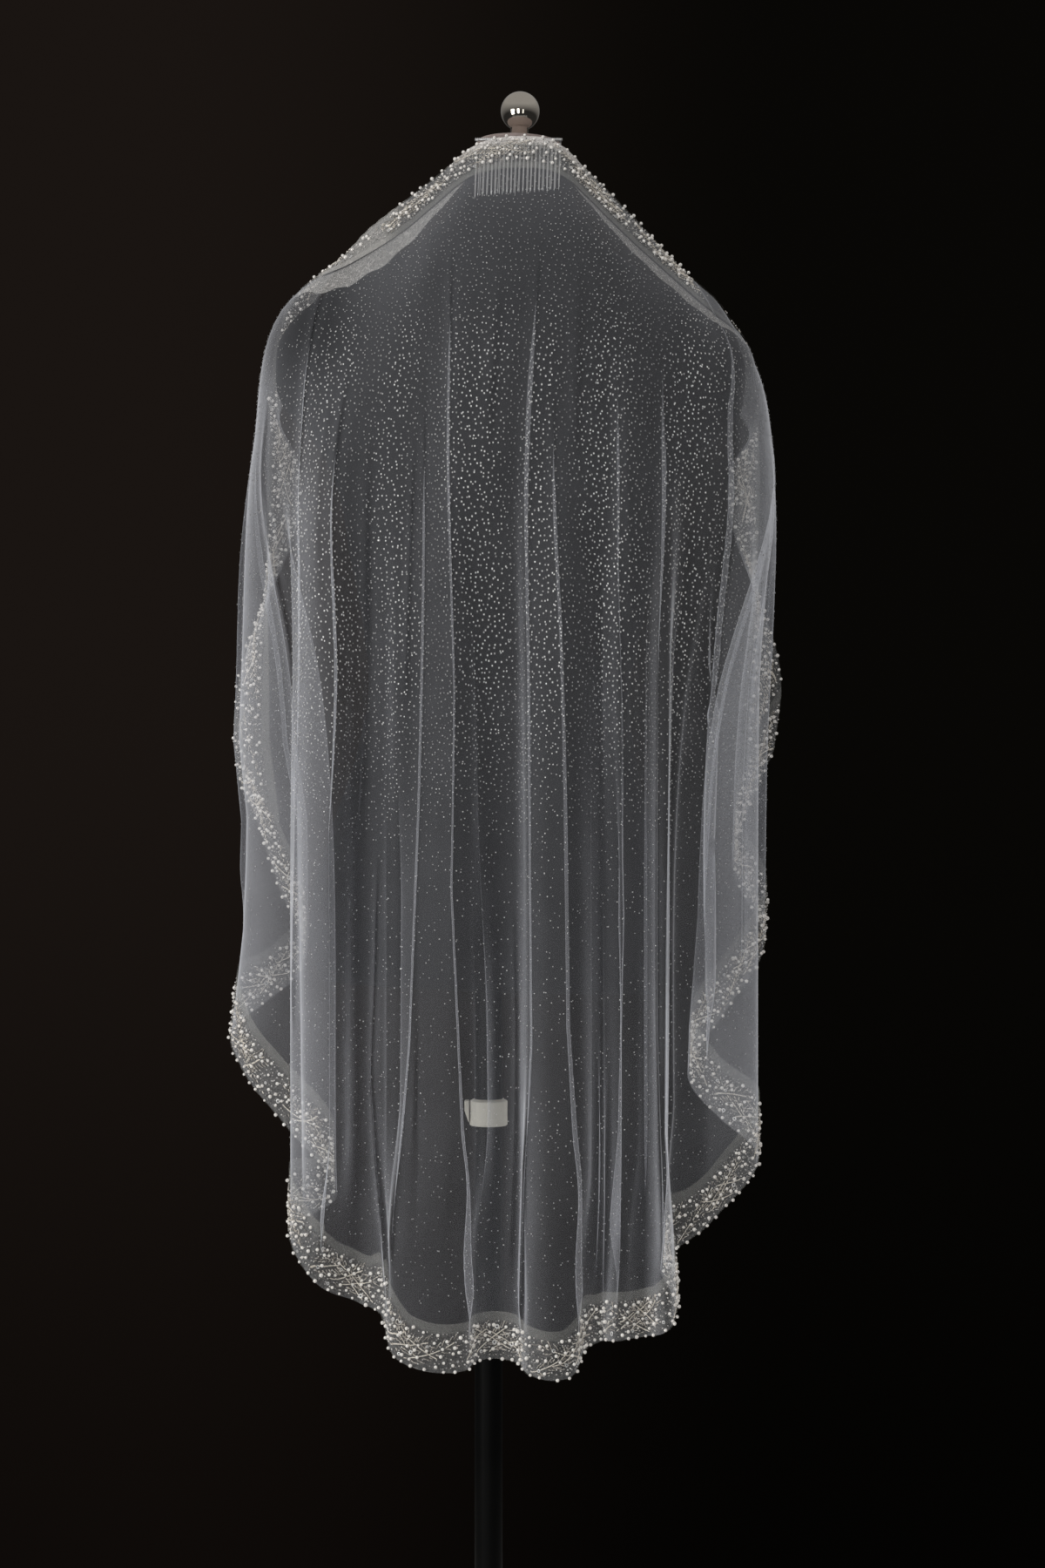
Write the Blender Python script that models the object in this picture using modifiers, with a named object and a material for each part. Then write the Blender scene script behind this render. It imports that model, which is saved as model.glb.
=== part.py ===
"""Bridal veil on a dress form stand, at real size in metres, +Z up.

The back of the form faces -Y. The origin is the centre of the base plate's underside, on the
pole's axis. One sheet of tulle hangs from a comb at the nape, over both shoulders and down the
back, and falls in two cascades at the sides. A beaded lace border runs all round its edge.
"""

import math

import bmesh
import bpy
import numpy as np

MM = 0.001
GAP = 0.3 * MM  # clearance between pieces that touch
SEAM = 1.0 * MM  # clearance between the ends of two strips of border

# Stand
BASE_RADIUS = 180 * MM
BASE_HEIGHT = 16 * MM
HUB_RADIUS = 28 * MM
HUB_HEIGHT = 34 * MM
POLE_RADIUS = 12.5 * MM
COLLAR_RADIUS = 17 * MM
COLLAR_BOTTOM = 694.5 * MM
COLLAR_HEIGHT = 24 * MM
COLLAR_DOME = 4 * MM  # how far its top slopes down to its rim
LEVER_REACH = 21.5 * MM
LEVER_WIDTH = 10 * MM
LEVER_HEIGHT = 20 * MM
LEVER_TIP = 8.5 * MM  # height of the lever at its tip

# Form: it leans a little towards +X on its pole.
FORM_BOTTOM = 820 * MM
FORM_LEAN = math.radians(2.07)
FORM_ROUNDNESS = 2.35  # exponent of the superellipse that each section follows
FORM_SEGMENTS = 40
NECK_TOP = 1568 * MM
CAP_RADIUS = 38 * MM
CAP_HEIGHT = 10.5 * MM
BALL_RADIUS = 17.3 * MM
STEM_RADIUS = 8 * MM
STEM_HEIGHT = 7.9 * MM
BALL_SEAT = 0.92  # share of its radius that the ball stands over its stem

FORM_COLUMNS = ("height", "half_width", "back", "front")
FORM_SECTIONS = (
    (820, 150, 92, 88),
    (850, 161, 98, 94),
    (900, 159, 99, 94),
    (960, 144, 92, 90),
    (1020, 126, 86, 84),
    (1080, 117, 78, 80),
    (1140, 124, 78, 92),
    (1200, 138, 84, 112),
    (1255, 150, 90, 120),
    (1300, 174, 92, 106),
    (1330, 202, 90, 94),
    (1365, 210, 84, 84),
    (1392, 206, 77, 76),
    (1414, 190, 70, 68),
    (1436, 160, 64, 61),
    (1458, 122, 57, 54),
    (1480, 88, 51, 49),
    (1505, 64, 47, 46),
    (1530, 50, 43, 43),
    (1568, 43, 40, 40),
)

# Cloth
TULLE = 1.2 * MM
LACE = 1.5 * MM
BEADING = 0.8 * MM  # how far the beadwork stands over the lace ground
BEADING_PITCH = 3  # columns from one sprig of the beadwork to the next
BORDER_WIDTH = 41 * MM
CLEAR_OF_FORM = 3.4 * MM
CHEST_HEIGHT = 1300 * MM
WAIST_HEIGHT = 1080 * MM
COLUMNS_PER_FOLD = 2
BORDER_ROWS = 2
STEEPEST_SLANT = 0.68  # least share of its width that the border shows down a column
PANEL_ROWS = 14
PATH_SAMPLES = 97  # points down each column before its rows are set
SPACING_POWER = 0.6  # columns follow the hem's steps raised to this

# The top edge and, below it, the yoke: "along" is the distance from the comb along the edge.
EDGE_COLUMNS = ("place", "along", "x", "y", "z")
TOP_EDGE = (
    ("left front corner", -333, -180, 90, 1368),
    ("left front of shoulder", -270, -168, 60, 1420),
    ("left top of shoulder", -210, -140, 18, 1461),
    ("left crossing", -157, -103, -22, 1494),
    ("left slope", -119, -74, -38, 1513),
    ("left of comb", -68, -35, -44, 1542),
    ("comb, left end", -37, -10, -44, 1562),
    ("comb, middle", 0, 26, -46, 1569),
    ("comb, right end", 37, 62, -44, 1563),
    ("right of comb", 66, 85, -44, 1541),
    ("right slope", 110, 118, -39, 1509),
    ("right half way", 183, 170, -22, 1458),
    ("right tip of shoulder", 240, 208, 2, 1428),
    ("right front of shoulder", 297, 228, 42, 1394),
    ("right front corner", 360, 226, 90, 1350),
)
YOKE = (
    ("left front corner", -333, -194, 82, 1340),
    ("left front of shoulder", -270, -192, 22, 1408),
    ("left top of shoulder", -210, -163, -20, 1442),
    ("left crossing", -157, -119, -47, 1450),
    ("left slope", -119, -84, -64, 1464),
    ("comb, left end", -37, -14, -84, 1506),
    ("comb, middle", 0, 25, -86, 1511),
    ("comb, right end", 37, 64, -84, 1507),
    ("right slope", 110, 124, -70, 1466),
    ("right half way", 183, 186, -42, 1424),
    ("right tip of shoulder", 240, 226, -12, 1394),
    ("right front of shoulder", 297, 246, 32, 1362),
    ("right front corner", 360, 240, 82, 1322),
)

# Every fold from the left front edge round the back to the right front edge. "along" is where
# it starts on the top edge, and "early" how much of it has formed at the waist.
FOLD_COLUMNS = (
    "fold", "along", "chest_x", "chest_y", "hem_x", "hem_y", "hem_z", "early",
)
FOLDS = (
    ("left front edge", -333, -178, 99, -236, 72, 1008, 0.95),
    ("left front border", -316, -191, 84, -220, 61, 962, 0.93),
    ("left front border seam", -301, -202, 66, -200, 50, 904, 0.9),
    ("left inner turn", -287, -208, 44, -173, 40, 836, 0.8),
    ("left middle leg", -276, -211, 22, -203, 16, 804, 0.7),
    ("left outer turn", -265, -211, 2, -230, 1, 780, 0.6),
    ("left near leg", -245, -207, -20, -214, -30, 742, 0.65),
    ("left near leg, low", -222, -198, -42, -176, -57, 700, 0.8),
    ("left pleat inside", -200, -184, -58, -131, -78, 642, 0.75),
    ("left pleat edge", -178, -165, -71, -169, -101, 616, 0.8),
    ("back crest 1", -158, -142, -82, -145, -125, 574, 0.6),
    ("back valley 1", -128, -108, -93, -111, -101, 554, 0.5),
    ("back wall 2", -108, -89, -98, -91, -112, 546, 0.4),
    ("back crest 2 left", -92, -73, -101, -78, -136, 514, 0.4),
    ("back crest 2", -72, -52, -104, -49, -145, 503, 0.35),
    ("back crest 2 right", -50, -31, -106, -21, -138, 502, 0.4),
    ("back valley 2 left", -32, -16, -107, -8, -113, 506, 0.4),
    ("back valley 2", -12, 3, -108, 8, -103, 506, 0.35),
    ("back valley 2 right", 8, 22, -108, 26, -110, 504, 0.45),
    ("back crest 3 left", 20, 34, -108, 36, -136, 499, 0.45),
    ("back crest 3", 32, 48, -107, 54, -147, 496, 0.4),
    ("back crest 3 right", 46, 63, -106, 72, -138, 498, 0.4),
    ("back valley 3 left", 58, 76, -105, 80, -115, 516, 0.4),
    ("back valley 3", 72, 91, -102, 94, -104, 521, 0.4),
    ("back crest 4", 92, 111, -97, 111, -130, 526, 0.5),
    ("back valley 4", 114, 132, -91, 132, -108, 526, 0.5),
    ("back crest 5", 138, 154, -83, 153, -130, 534, 0.6),
    ("right pleat edge", 162, 178, -72, 169, -108, 553, 0.7),
    ("right pleat inside", 184, 202, -59, 149, -83, 582, 0.7),
    ("right near leg, low", 206, 222, -43, 193, -52, 614, 0.8),
    ("right outer turn", 232, 246, -16, 241, -6, 668, 0.8),
    ("right middle leg", 252, 254, 2, 216, 16, 700, 0.8),
    ("right inner turn", 268, 256, 16, 192, 34, 736, 0.75),
    ("right far leg", 284, 257, 28, 228, 42, 796, 0.8),
    ("right far turn", 300, 257, 42, 258, 54, 852, 0.85),
    ("right front turn", 318, 253, 56, 229, 74, 922, 0.85),
    ("right front border seam", 334, 247, 68, 236, 84, 956, 0.92),
    ("right front border", 346, 239, 84, 252, 91, 996, 1.05),
    ("right front edge", 360, 227, 99, 267, 98, 1031, 1.12),
)
FRONT_BORDER_FOLDS = 2  # folds between a front edge and the seam of its border

# Comb
COMB_TEETH = 22
COMB_PITCH = 3.5 * MM
COMB_BEND = 300 * MM
COMB_TOP = 1569.6 * MM
COMB_BAR_HEIGHT = 4 * MM
COMB_BAR_DEPTH = 3.4 * MM
COMB_WIRE = 1.2 * MM
COMB_TIPS = (1517 * MM, 1523 * MM)  # heights of the first and the last tooth's tip


def table(rows, names):
    """The columns of a table by name: texts as lists, and sizes as arrays in metres."""
    columns = {}
    for index, name in enumerate(names):
        values = [row[index] for row in rows]
        columns[name] = values if isinstance(values[0], str) else np.array(values) * MM
    return columns


def smooth(knots, values, at):
    """The cubic through the values at rising knots, read at the places given."""
    values = np.asarray(values, float)
    slopes = np.gradient(values, knots, axis=0)
    span = np.clip(np.searchsorted(knots, at, side="right") - 1, 0, len(knots) - 2)
    width = (knots[span + 1] - knots[span]).reshape(-1, *[1] * (values.ndim - 1))
    t = ((at - knots[span]) / (knots[span + 1] - knots[span])).reshape(width.shape)
    start, end = values[span], values[span + 1]
    return (
        (1 + 2 * t) * (1 - t) ** 2 * start
        + t * t * (3 - 2 * t) * end
        + width * t * (1 - t) * ((1 - t) * slopes[span] - t * slopes[span + 1])
    )


def tilted(points):
    """Points of the upright form after it has leant towards +X about the top of its pole."""
    points = np.array(points, float)
    x, z = points[..., 0].copy(), points[..., 2] - FORM_BOTTOM
    points[..., 0] = x * math.cos(FORM_LEAN) + z * math.sin(FORM_LEAN)
    points[..., 2] = FORM_BOTTOM - x * math.sin(FORM_LEAN) + z * math.cos(FORM_LEAN)
    return points


def upright(points):
    """The reverse of tilted."""
    points = np.array(points, float)
    x, z = points[..., 0].copy(), points[..., 2] - FORM_BOTTOM
    points[..., 0] = x * math.cos(FORM_LEAN) - z * math.sin(FORM_LEAN)
    points[..., 2] = FORM_BOTTOM + x * math.sin(FORM_LEAN) + z * math.cos(FORM_LEAN)
    return points


def form_section(heights):
    """Half width, depth to the back and depth to the front of the form at the heights."""
    form = table(FORM_SECTIONS, FORM_COLUMNS)
    sizes = np.stack([form[name] for name in FORM_COLUMNS[1:]], axis=1)
    flat = np.clip(np.ravel(heights), form["height"][0], form["height"][-1])
    return smooth(form["height"], sizes, flat).reshape(*np.shape(heights), 3)


def clear_of_form(points):
    """Cloth points moved out sideways wherever they come nearer to the form than they may."""
    local = upright(points)
    sizes = form_section(local[..., 2])
    across, back, front = np.moveaxis(sizes, -1, 0)
    deep = np.where(local[..., 1] < 0, back, front)
    power = FORM_ROUNDNESS
    reach = (np.abs(local[..., 0] / across) ** power + np.abs(local[..., 1] / deep) ** power)
    reach = np.maximum(reach ** (1 / power), 1e-6)
    least = 1 + CLEAR_OF_FORM / np.minimum(across, deep)
    beside = (local[..., 2] > FORM_BOTTOM - BORDER_WIDTH) & (local[..., 2] < NECK_TOP)
    factor = np.where(beside & (reach < least), least / reach, 1.0)
    local[..., :2] *= factor[..., None]
    return tilted(local)


def fold_lines():
    """The five rings that each fold passes, from the top edge to the hem, as (fold, ring, xyz)."""
    folds = table(FOLDS, FOLD_COLUMNS)
    rings = []
    for rows in (TOP_EDGE, YOKE):
        edge = table(rows, EDGE_COLUMNS)
        path = np.stack([edge["x"], edge["y"], edge["z"]], axis=1)
        rings.append(smooth(edge["along"], path, folds["along"]))
    chest = np.stack([folds["chest_x"], folds["chest_y"]], axis=1)
    hem = np.stack([folds["hem_x"], folds["hem_y"]], axis=1)
    early = (folds["early"] / MM)[:, None]
    waist = chest + (hem - chest) * early
    for plan, height in ((chest, CHEST_HEIGHT), (waist, WAIST_HEIGHT), (hem, folds["hem_z"])):
        heights = np.broadcast_to(height, len(plan))
        rings.append(np.column_stack([plan, heights]))
    return np.stack(rings, axis=1)


def columns_of_cloth():
    """The fold lines and those between them, as (column, ring, xyz), spaced by the hem."""
    lines = fold_lines()
    steps = np.linalg.norm(np.diff(lines[:, -1], axis=0), axis=1) ** SPACING_POWER
    knots = np.concatenate([[0.0], np.cumsum(steps)])
    share = np.arange((len(knots) - 1) * COLUMNS_PER_FOLD + 1) / COLUMNS_PER_FOLD
    return smooth(knots, lines, np.interp(share, np.arange(len(knots)), knots))


def hem_border_depth(columns):
    """The border's depth along each column, which grows where the hem runs at a slant."""
    run = np.gradient(columns[:, -1], axis=0)
    fall = columns[:, -1] - columns[:, -2]
    run /= np.linalg.norm(run, axis=1, keepdims=True)
    fall /= np.linalg.norm(fall, axis=1, keepdims=True)
    slant = np.linalg.norm(np.cross(run, fall), axis=1)
    return BORDER_WIDTH / np.clip(slant, STEEPEST_SLANT, 1.0)


def cloth_grid():
    """The sheet as (column, row, xyz). The rows keep to the borders' seams."""
    columns = columns_of_cloth()
    depth = hem_border_depth(columns)
    fine = np.linspace(0, 1, PATH_SAMPLES)
    sheet = []
    for line, hem_depth in zip(columns, depth):
        reach = np.concatenate([[0.0], np.cumsum(np.linalg.norm(np.diff(line, axis=0), axis=1))])
        path = clear_of_form(smooth(reach, line, fine * reach[-1]))
        length = np.concatenate([[0.0], np.cumsum(np.linalg.norm(np.diff(path, axis=0), axis=1))])
        top = np.linspace(0, BORDER_WIDTH, BORDER_ROWS + 1)
        low = length[-1] - np.linspace(hem_depth, 0, BORDER_ROWS + 1)
        middle = np.linspace(top[-1], low[0], PANEL_ROWS + 1)
        rows = np.concatenate([top[:-1], middle, low[1:]])
        sheet.append(np.stack([np.interp(rows, length, path[:, k]) for k in range(3)], axis=1))
    return np.array(sheet)


def normals_of(grid):
    """Unit normals of a grid, pointing away from the body."""
    across = np.gradient(grid, axis=0)
    down = np.gradient(grid, axis=1)
    normal = np.cross(down, across)
    return normal / np.linalg.norm(normal, axis=2, keepdims=True)


def collection_of(name):
    """A new collection in the scene."""
    collection = bpy.data.collections.new(name)
    bpy.context.scene.collection.children.link(collection)
    return collection


def finish(name, colour, roughness, metallic=0.0):
    """A plain Principled material."""
    material = bpy.data.materials.new(name)
    material.use_nodes = True
    shader = material.node_tree.nodes["Principled BSDF"]
    shader.inputs["Base Color"].default_value = (*colour, 1.0)
    shader.inputs["Roughness"].default_value = roughness
    shader.inputs["Metallic"].default_value = metallic
    material.diffuse_color = (*colour, 1.0)
    return material


def mesh_object(name, points, faces, material, collection, sharp=40):
    """An object from points and faces, shaded smooth over its soft edges."""
    mesh = bpy.data.meshes.new(name)
    mesh.from_pydata([tuple(map(float, point)) for point in points], [], faces)
    mesh.validate()
    mesh.shade_smooth()
    mesh.set_sharp_from_angle(angle=math.radians(sharp))
    mesh.materials.append(material)
    part = bpy.data.objects.new(name, mesh)
    collection.objects.link(part)
    return part


def wall(name, inner, outer, material, collection):
    """A closed wall between two grids of the same shape, (column, row, xyz)."""
    columns, rows = inner.shape[:2]
    index = np.arange(columns * rows).reshape(columns, rows)
    far = index + columns * rows
    faces = []
    for i in range(columns - 1):
        for j in range(rows - 1):
            a, b, c, d = index[i, j], index[i + 1, j], index[i + 1, j + 1], index[i, j + 1]
            for corner in ((a, b, c), (a, c, d)):
                faces.append(corner)
                faces.append(tuple(far.flat[k] for k in reversed(corner)))
    rim = [index[i, 0] for i in range(columns)]
    rim += [index[-1, j] for j in range(1, rows)]
    rim += [index[i, -1] for i in range(columns - 2, -1, -1)]
    rim += [index[0, j] for j in range(rows - 2, 0, -1)]
    for near, after in zip(rim, rim[1:] + rim[:1]):
        faces.append((after, near, far.flat[near], far.flat[after]))
    points = np.concatenate([inner.reshape(-1, 3), outer.reshape(-1, 3)])
    faces = [tuple(int(k) for k in face) for face in faces]
    return mesh_object(name, points, faces, material, collection, sharp=60)


def turned(name, profile, segments, material, collection, place=(0, 0, 0)):
    """A solid of revolution from a profile that runs down its outer side."""
    mesh = bpy.data.meshes.new(name)
    points = [(radius, 0.0, height) for radius, height in profile]
    mesh.from_pydata(points, [(k, k + 1) for k in range(len(points) - 1)], [])
    mesh.materials.append(material)
    part = bpy.data.objects.new(name, mesh)
    part.location = place
    collection.objects.link(part)
    screw = part.modifiers.new("Turn", "SCREW")
    screw.steps = screw.render_steps = segments
    screw.use_merge_vertices = True
    screw.merge_threshold = 0.00005
    screw.use_smooth_shade = True
    return part


def arc(radius, start, end, steps, centre=(0.0, 0.0)):
    """Points on an arc of a profile, by angles in degrees from the horizontal."""
    angles = np.radians(np.linspace(start, end, steps + 1))
    return [
        (max(0.0, centre[0] + radius * math.cos(a)), centre[1] + radius * math.sin(a))
        for a in angles
    ]


def build_base(collection):
    """The round base plate with its hub, flat underneath."""
    edge = 5 * MM
    profile = [(0.0, HUB_HEIGHT), (POLE_RADIUS - 2 * MM, HUB_HEIGHT)]
    profile += [(HUB_RADIUS - edge, HUB_HEIGHT)]
    profile += arc(edge, 90, 0, 3, (HUB_RADIUS - edge, HUB_HEIGHT - edge))[1:]
    profile += [(HUB_RADIUS, BASE_HEIGHT + edge), (HUB_RADIUS + edge, BASE_HEIGHT)]
    profile += [(BASE_RADIUS - edge, BASE_HEIGHT - 3 * MM)]
    profile += arc(edge, 80, 0, 3, (BASE_RADIUS - edge, BASE_HEIGHT - 3 * MM - edge))[1:]
    profile += [(BASE_RADIUS, 0.0), (0.0, 0.0)]
    paint = finish("black_base_paint", (0.012, 0.012, 0.013), 0.45)
    return turned("base_plate", profile, 48, paint, collection)


def build_pole(collection):
    """The straight pole between the hub and the form."""
    bottom, top = HUB_HEIGHT + GAP, FORM_BOTTOM - POLE_RADIUS * math.sin(FORM_LEAN) - GAP
    profile = [(0.0, top), (POLE_RADIUS, top), (POLE_RADIUS, bottom), (0.0, bottom)]
    paint = finish("black_pole_paint", (0.012, 0.012, 0.014), 0.35, 0.3)
    return turned("pole", profile, 24, paint, collection)


def build_collar(collection):
    """The white locking collar round the pole, with its thumb lever to the left."""
    inner = POLE_RADIUS + GAP
    top = COLLAR_BOTTOM + COLLAR_HEIGHT
    edge = 1.5 * MM
    rim = top - COLLAR_DOME
    profile = [
        (inner, top),
        (COLLAR_RADIUS - edge, rim + edge / 2),
        (COLLAR_RADIUS, rim - edge / 2),
        (COLLAR_RADIUS, COLLAR_BOTTOM + edge),
        (COLLAR_RADIUS - edge, COLLAR_BOTTOM),
        (inner, COLLAR_BOTTOM),
        (inner, top),
    ]
    plastic = finish("white_plastic", (0.78, 0.77, 0.72), 0.4)
    collar = turned("locking_collar", profile, 24, plastic, collection)
    half, root = LEVER_WIDTH / 2, COLLAR_RADIUS + GAP
    side = [
        (-root, rim - LEVER_HEIGHT),
        (-root, rim),
        (-LEVER_REACH, rim),
        (-LEVER_REACH, rim - LEVER_TIP),
    ]
    points = [(x, -half, z) for x, z in side] + [(x, half, z) for x, z in side]
    count = len(side)
    faces = [tuple(range(count)), tuple(range(2 * count - 1, count - 1, -1))]
    for k in range(count):
        after = (k + 1) % count
        faces.append((after, k, k + count, after + count))
    lever = mesh_object("collar_lever", points, faces, plastic, collection)
    return collar, lever


def build_form(collection):
    """The limbless torso: superellipse sections lofted to the neck, closed at both ends."""
    form = table(FORM_SECTIONS, FORM_COLUMNS)
    heights = np.concatenate([
        np.linspace(low, high, 2, endpoint=False)
        for low, high in zip(form["height"][:-1], form["height"][1:])
    ])
    heights = np.append(heights, form["height"][-1])
    sizes = form_section(heights)
    turn = np.linspace(0, 2 * math.pi, FORM_SEGMENTS, endpoint=False)
    power = 2 / FORM_ROUNDNESS
    x = np.sign(np.cos(turn)) * np.abs(np.cos(turn)) ** power
    y = np.sign(np.sin(turn)) * np.abs(np.sin(turn)) ** power
    rings = []
    for height, (across, back, front) in zip(heights, sizes):
        deep = np.where(y < 0, back, front)
        rings.append(np.column_stack([x * across, y * deep, np.full(len(turn), height)]))
    points = tilted(np.concatenate(rings))
    faces = []
    for ring in range(len(rings) - 1):
        for k in range(FORM_SEGMENTS):
            near, after = ring * FORM_SEGMENTS + k, ring * FORM_SEGMENTS + (k + 1) % FORM_SEGMENTS
            faces.append((near, after, after + FORM_SEGMENTS, near + FORM_SEGMENTS))
    faces.append(tuple(range(FORM_SEGMENTS - 1, -1, -1)))
    faces.append(tuple(range(len(points) - FORM_SEGMENTS, len(points))))
    jersey = finish("black_jersey", (0.010, 0.010, 0.012), 0.85)
    return mesh_object("form_torso", points, faces, jersey, collection)


def leaning(part, height):
    """Stands a part of the form upright at a height and leans it with the form."""
    place = tilted([0.0, 0.0, height])
    part.location = tuple(float(value) for value in place)
    part.rotation_euler = (0.0, FORM_LEAN, 0.0)
    return part


def build_neck_cap(collection):
    """The low domed cap on the neck."""
    edge = 4 * MM
    profile = [(0.0, CAP_HEIGHT), (CAP_RADIUS * 0.5, CAP_HEIGHT - 0.8 * MM)]
    profile += [(CAP_RADIUS - edge, CAP_HEIGHT - 3 * MM)]
    profile += arc(edge, 70, 0, 3, (CAP_RADIUS - edge, CAP_HEIGHT - 3 * MM - edge))[1:]
    profile += [(CAP_RADIUS, 0.0), (0.0, 0.0)]
    taupe = finish("taupe_cap", (0.34, 0.27, 0.24), 0.6)
    return leaning(turned("neck_cap", profile, 32, taupe, collection), NECK_TOP + GAP)


def build_finial(collection):
    """The polished ball on its short stem."""
    centre = STEM_HEIGHT + BALL_RADIUS * BALL_SEAT
    foot = math.degrees(math.asin(STEM_RADIUS / BALL_RADIUS)) - 90
    profile = arc(BALL_RADIUS, 90, foot, 12, (0.0, centre))
    profile += [(STEM_RADIUS, 0.0), (0.0, 0.0)]
    metal = finish("polished_metal", (0.72, 0.70, 0.67), 0.14, 1.0)
    finial = turned("finial_ball", profile, 28, metal, collection)
    return leaning(finial, NECK_TOP + CAP_HEIGHT + 2 * GAP)


def build_veil(collection):
    """The tulle sheet and the beaded lace borders that lie on its outer face."""
    grid = cloth_grid()
    normal = normals_of(grid)
    net = finish("soft_tulle", (0.80, 0.82, 0.86), 0.6)
    wall("veil_tulle", grid - normal * TULLE / 2, grid + normal * TULLE / 2, net, collection)

    count, rows = grid.shape[:2]
    side = FRONT_BORDER_FOLDS * COLUMNS_PER_FOLD
    low = rows - 1 - BORDER_ROWS
    beads = finish("beaded_lace", (0.78, 0.76, 0.72), 0.35)
    inner = grid + normal * (TULLE / 2 + GAP)
    outer = inner + normal * beading(count, rows)[..., None]
    pieces = (
        ("border_top", 0, count - 1, 0, BORDER_ROWS),
        ("border_left_front", 0, side, BORDER_ROWS, low),
        ("border_hem", 0, count - 1, low, rows - 1),
        ("border_right_front", count - 1 - side, count - 1, BORDER_ROWS, low),
    )
    for name, first, last, start, end in pieces:
        part = np.s_[first : last + 1, start : end + 1]
        faces = [layer[part].copy() for layer in (inner, outer)]
        if "front" in name:
            for layer in faces:
                trim_ends(layer)
        wall(name, *faces, beads, collection)


def beading(count, rows):
    """The lace's thickness over the grid, raised in slanting sprigs along the border."""
    column, row = np.meshgrid(np.arange(count), np.arange(rows), indexing="ij")
    sprig = (column + row) % BEADING_PITCH == 0
    return LACE + BEADING * sprig


def trim_ends(layer):
    """Draws the two ends of a strip back by the seam's gap."""
    for end, inside in ((0, 1), (-1, -2)):
        step = layer[:, inside] - layer[:, end]
        layer[:, end] += step / np.linalg.norm(step, axis=1, keepdims=True) * SEAM


def comb_point(x, height, out):
    """A point of the comb: x from its middle, and out from the face that lies on the nape."""
    back = form_section(upright([0.0, 0.0, height])[2])[1]
    middle = tilted([0.0, 0.0, height])[0]
    bend = COMB_BEND - math.sqrt(COMB_BEND**2 - x * x)
    return (middle + x, bend - back - 2 * GAP - out, height)


def build_comb(collection):
    """The wire comb between the nape and the veil's edge: a bar with fine straight teeth."""
    half = COMB_TEETH * COMB_PITCH / 2
    middles = -half + (np.arange(COMB_TEETH) + 0.5) * COMB_PITCH
    sides = np.stack([middles - COMB_WIRE / 2, middles + COMB_WIRE / 2], axis=1)
    edges = np.concatenate([[-half], sides.ravel(), [half]])
    tips = np.interp(edges, (-half, half), COMB_TIPS)
    low = COMB_TOP - COMB_BAR_HEIGHT
    points = []
    for x, tip in zip(edges, tips):
        points += [comb_point(x, COMB_TOP, 0), comb_point(x, COMB_TOP, COMB_BAR_DEPTH)]
        points += [comb_point(x, low, out) for out in (0, COMB_WIRE, COMB_BAR_DEPTH)]
        points += [comb_point(x, tip, 0), comb_point(x, tip, COMB_WIRE)]
    each = len(points) // len(edges)
    faces = []
    for start in range(0, len(points) - each, each):
        near, after = np.arange(start, start + each), np.arange(start, start + each) + each
        strips = [(0, 1), (1, 4), (4, 3), (2, 0)]
        is_tooth = (start // each) % 2 == 1
        strips += [(3, 6), (6, 5), (5, 2)] if is_tooth else [(3, 2)]
        faces += [(near[p], near[q], after[q], after[p]) for p, q in strips]
        if is_tooth:
            faces += [(side[2], side[3], side[6], side[5]) for side in (near, after)]
    last = len(points) - each
    faces += [tuple(corner + end for corner in (0, 1, 4, 3, 2)) for end in (0, last)]
    faces = [tuple(int(corner) for corner in face) for face in faces]
    silver = finish("comb_wire", (0.72, 0.72, 0.74), 0.25, 1.0)
    comb = mesh_object("hair_comb", points, faces, silver, collection)
    shape = bmesh.new()
    shape.from_mesh(comb.data)
    loose = [vertex for vertex in shape.verts if not vertex.link_faces]
    bmesh.ops.delete(shape, geom=loose, context="VERTS")
    bmesh.ops.recalc_face_normals(shape, faces=shape.faces)
    shape.to_mesh(comb.data)
    shape.free()
    return comb


def main():
    """Clears the scene and builds every piece."""
    for existing in list(bpy.data.objects):
        bpy.data.objects.remove(existing)
    collection = collection_of("bridal_veil_on_dress_form")
    build_base(collection)
    build_pole(collection)
    build_collar(collection)
    build_form(collection)
    build_neck_cap(collection)
    build_finial(collection)
    build_comb(collection)
    build_veil(collection)


main()
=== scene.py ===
"""Looks of the bridal veil on its dress form stand, in metres, in the CAD model's own frame.

The back of the form faces -Y and +Z is up. One sheet of tulle set with rhinestones hangs from a
wire comb at the nape. A band of lace with pearls, seed beads, bugles and sequins edges it.
"""

import logging
import math
from abc import ABC, abstractmethod
from collections.abc import Sequence
from dataclasses import dataclass, field
from enum import Enum

import bpy
import numpy as np
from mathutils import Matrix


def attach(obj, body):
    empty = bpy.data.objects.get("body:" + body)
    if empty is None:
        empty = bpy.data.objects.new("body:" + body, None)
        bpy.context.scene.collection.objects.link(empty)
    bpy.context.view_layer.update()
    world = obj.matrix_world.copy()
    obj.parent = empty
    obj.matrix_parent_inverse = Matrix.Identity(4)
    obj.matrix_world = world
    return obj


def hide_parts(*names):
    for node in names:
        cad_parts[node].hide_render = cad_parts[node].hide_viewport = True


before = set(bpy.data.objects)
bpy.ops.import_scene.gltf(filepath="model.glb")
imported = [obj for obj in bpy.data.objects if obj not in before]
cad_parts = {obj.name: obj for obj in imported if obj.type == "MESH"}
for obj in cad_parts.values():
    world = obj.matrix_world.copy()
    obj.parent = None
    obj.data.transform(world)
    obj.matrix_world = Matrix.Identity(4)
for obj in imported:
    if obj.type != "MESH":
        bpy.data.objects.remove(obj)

LOG = logging.getLogger("bridal_veil")
MM = 0.001
BODY = "root"
SWELL = (0, 1, 1, 0)

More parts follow.
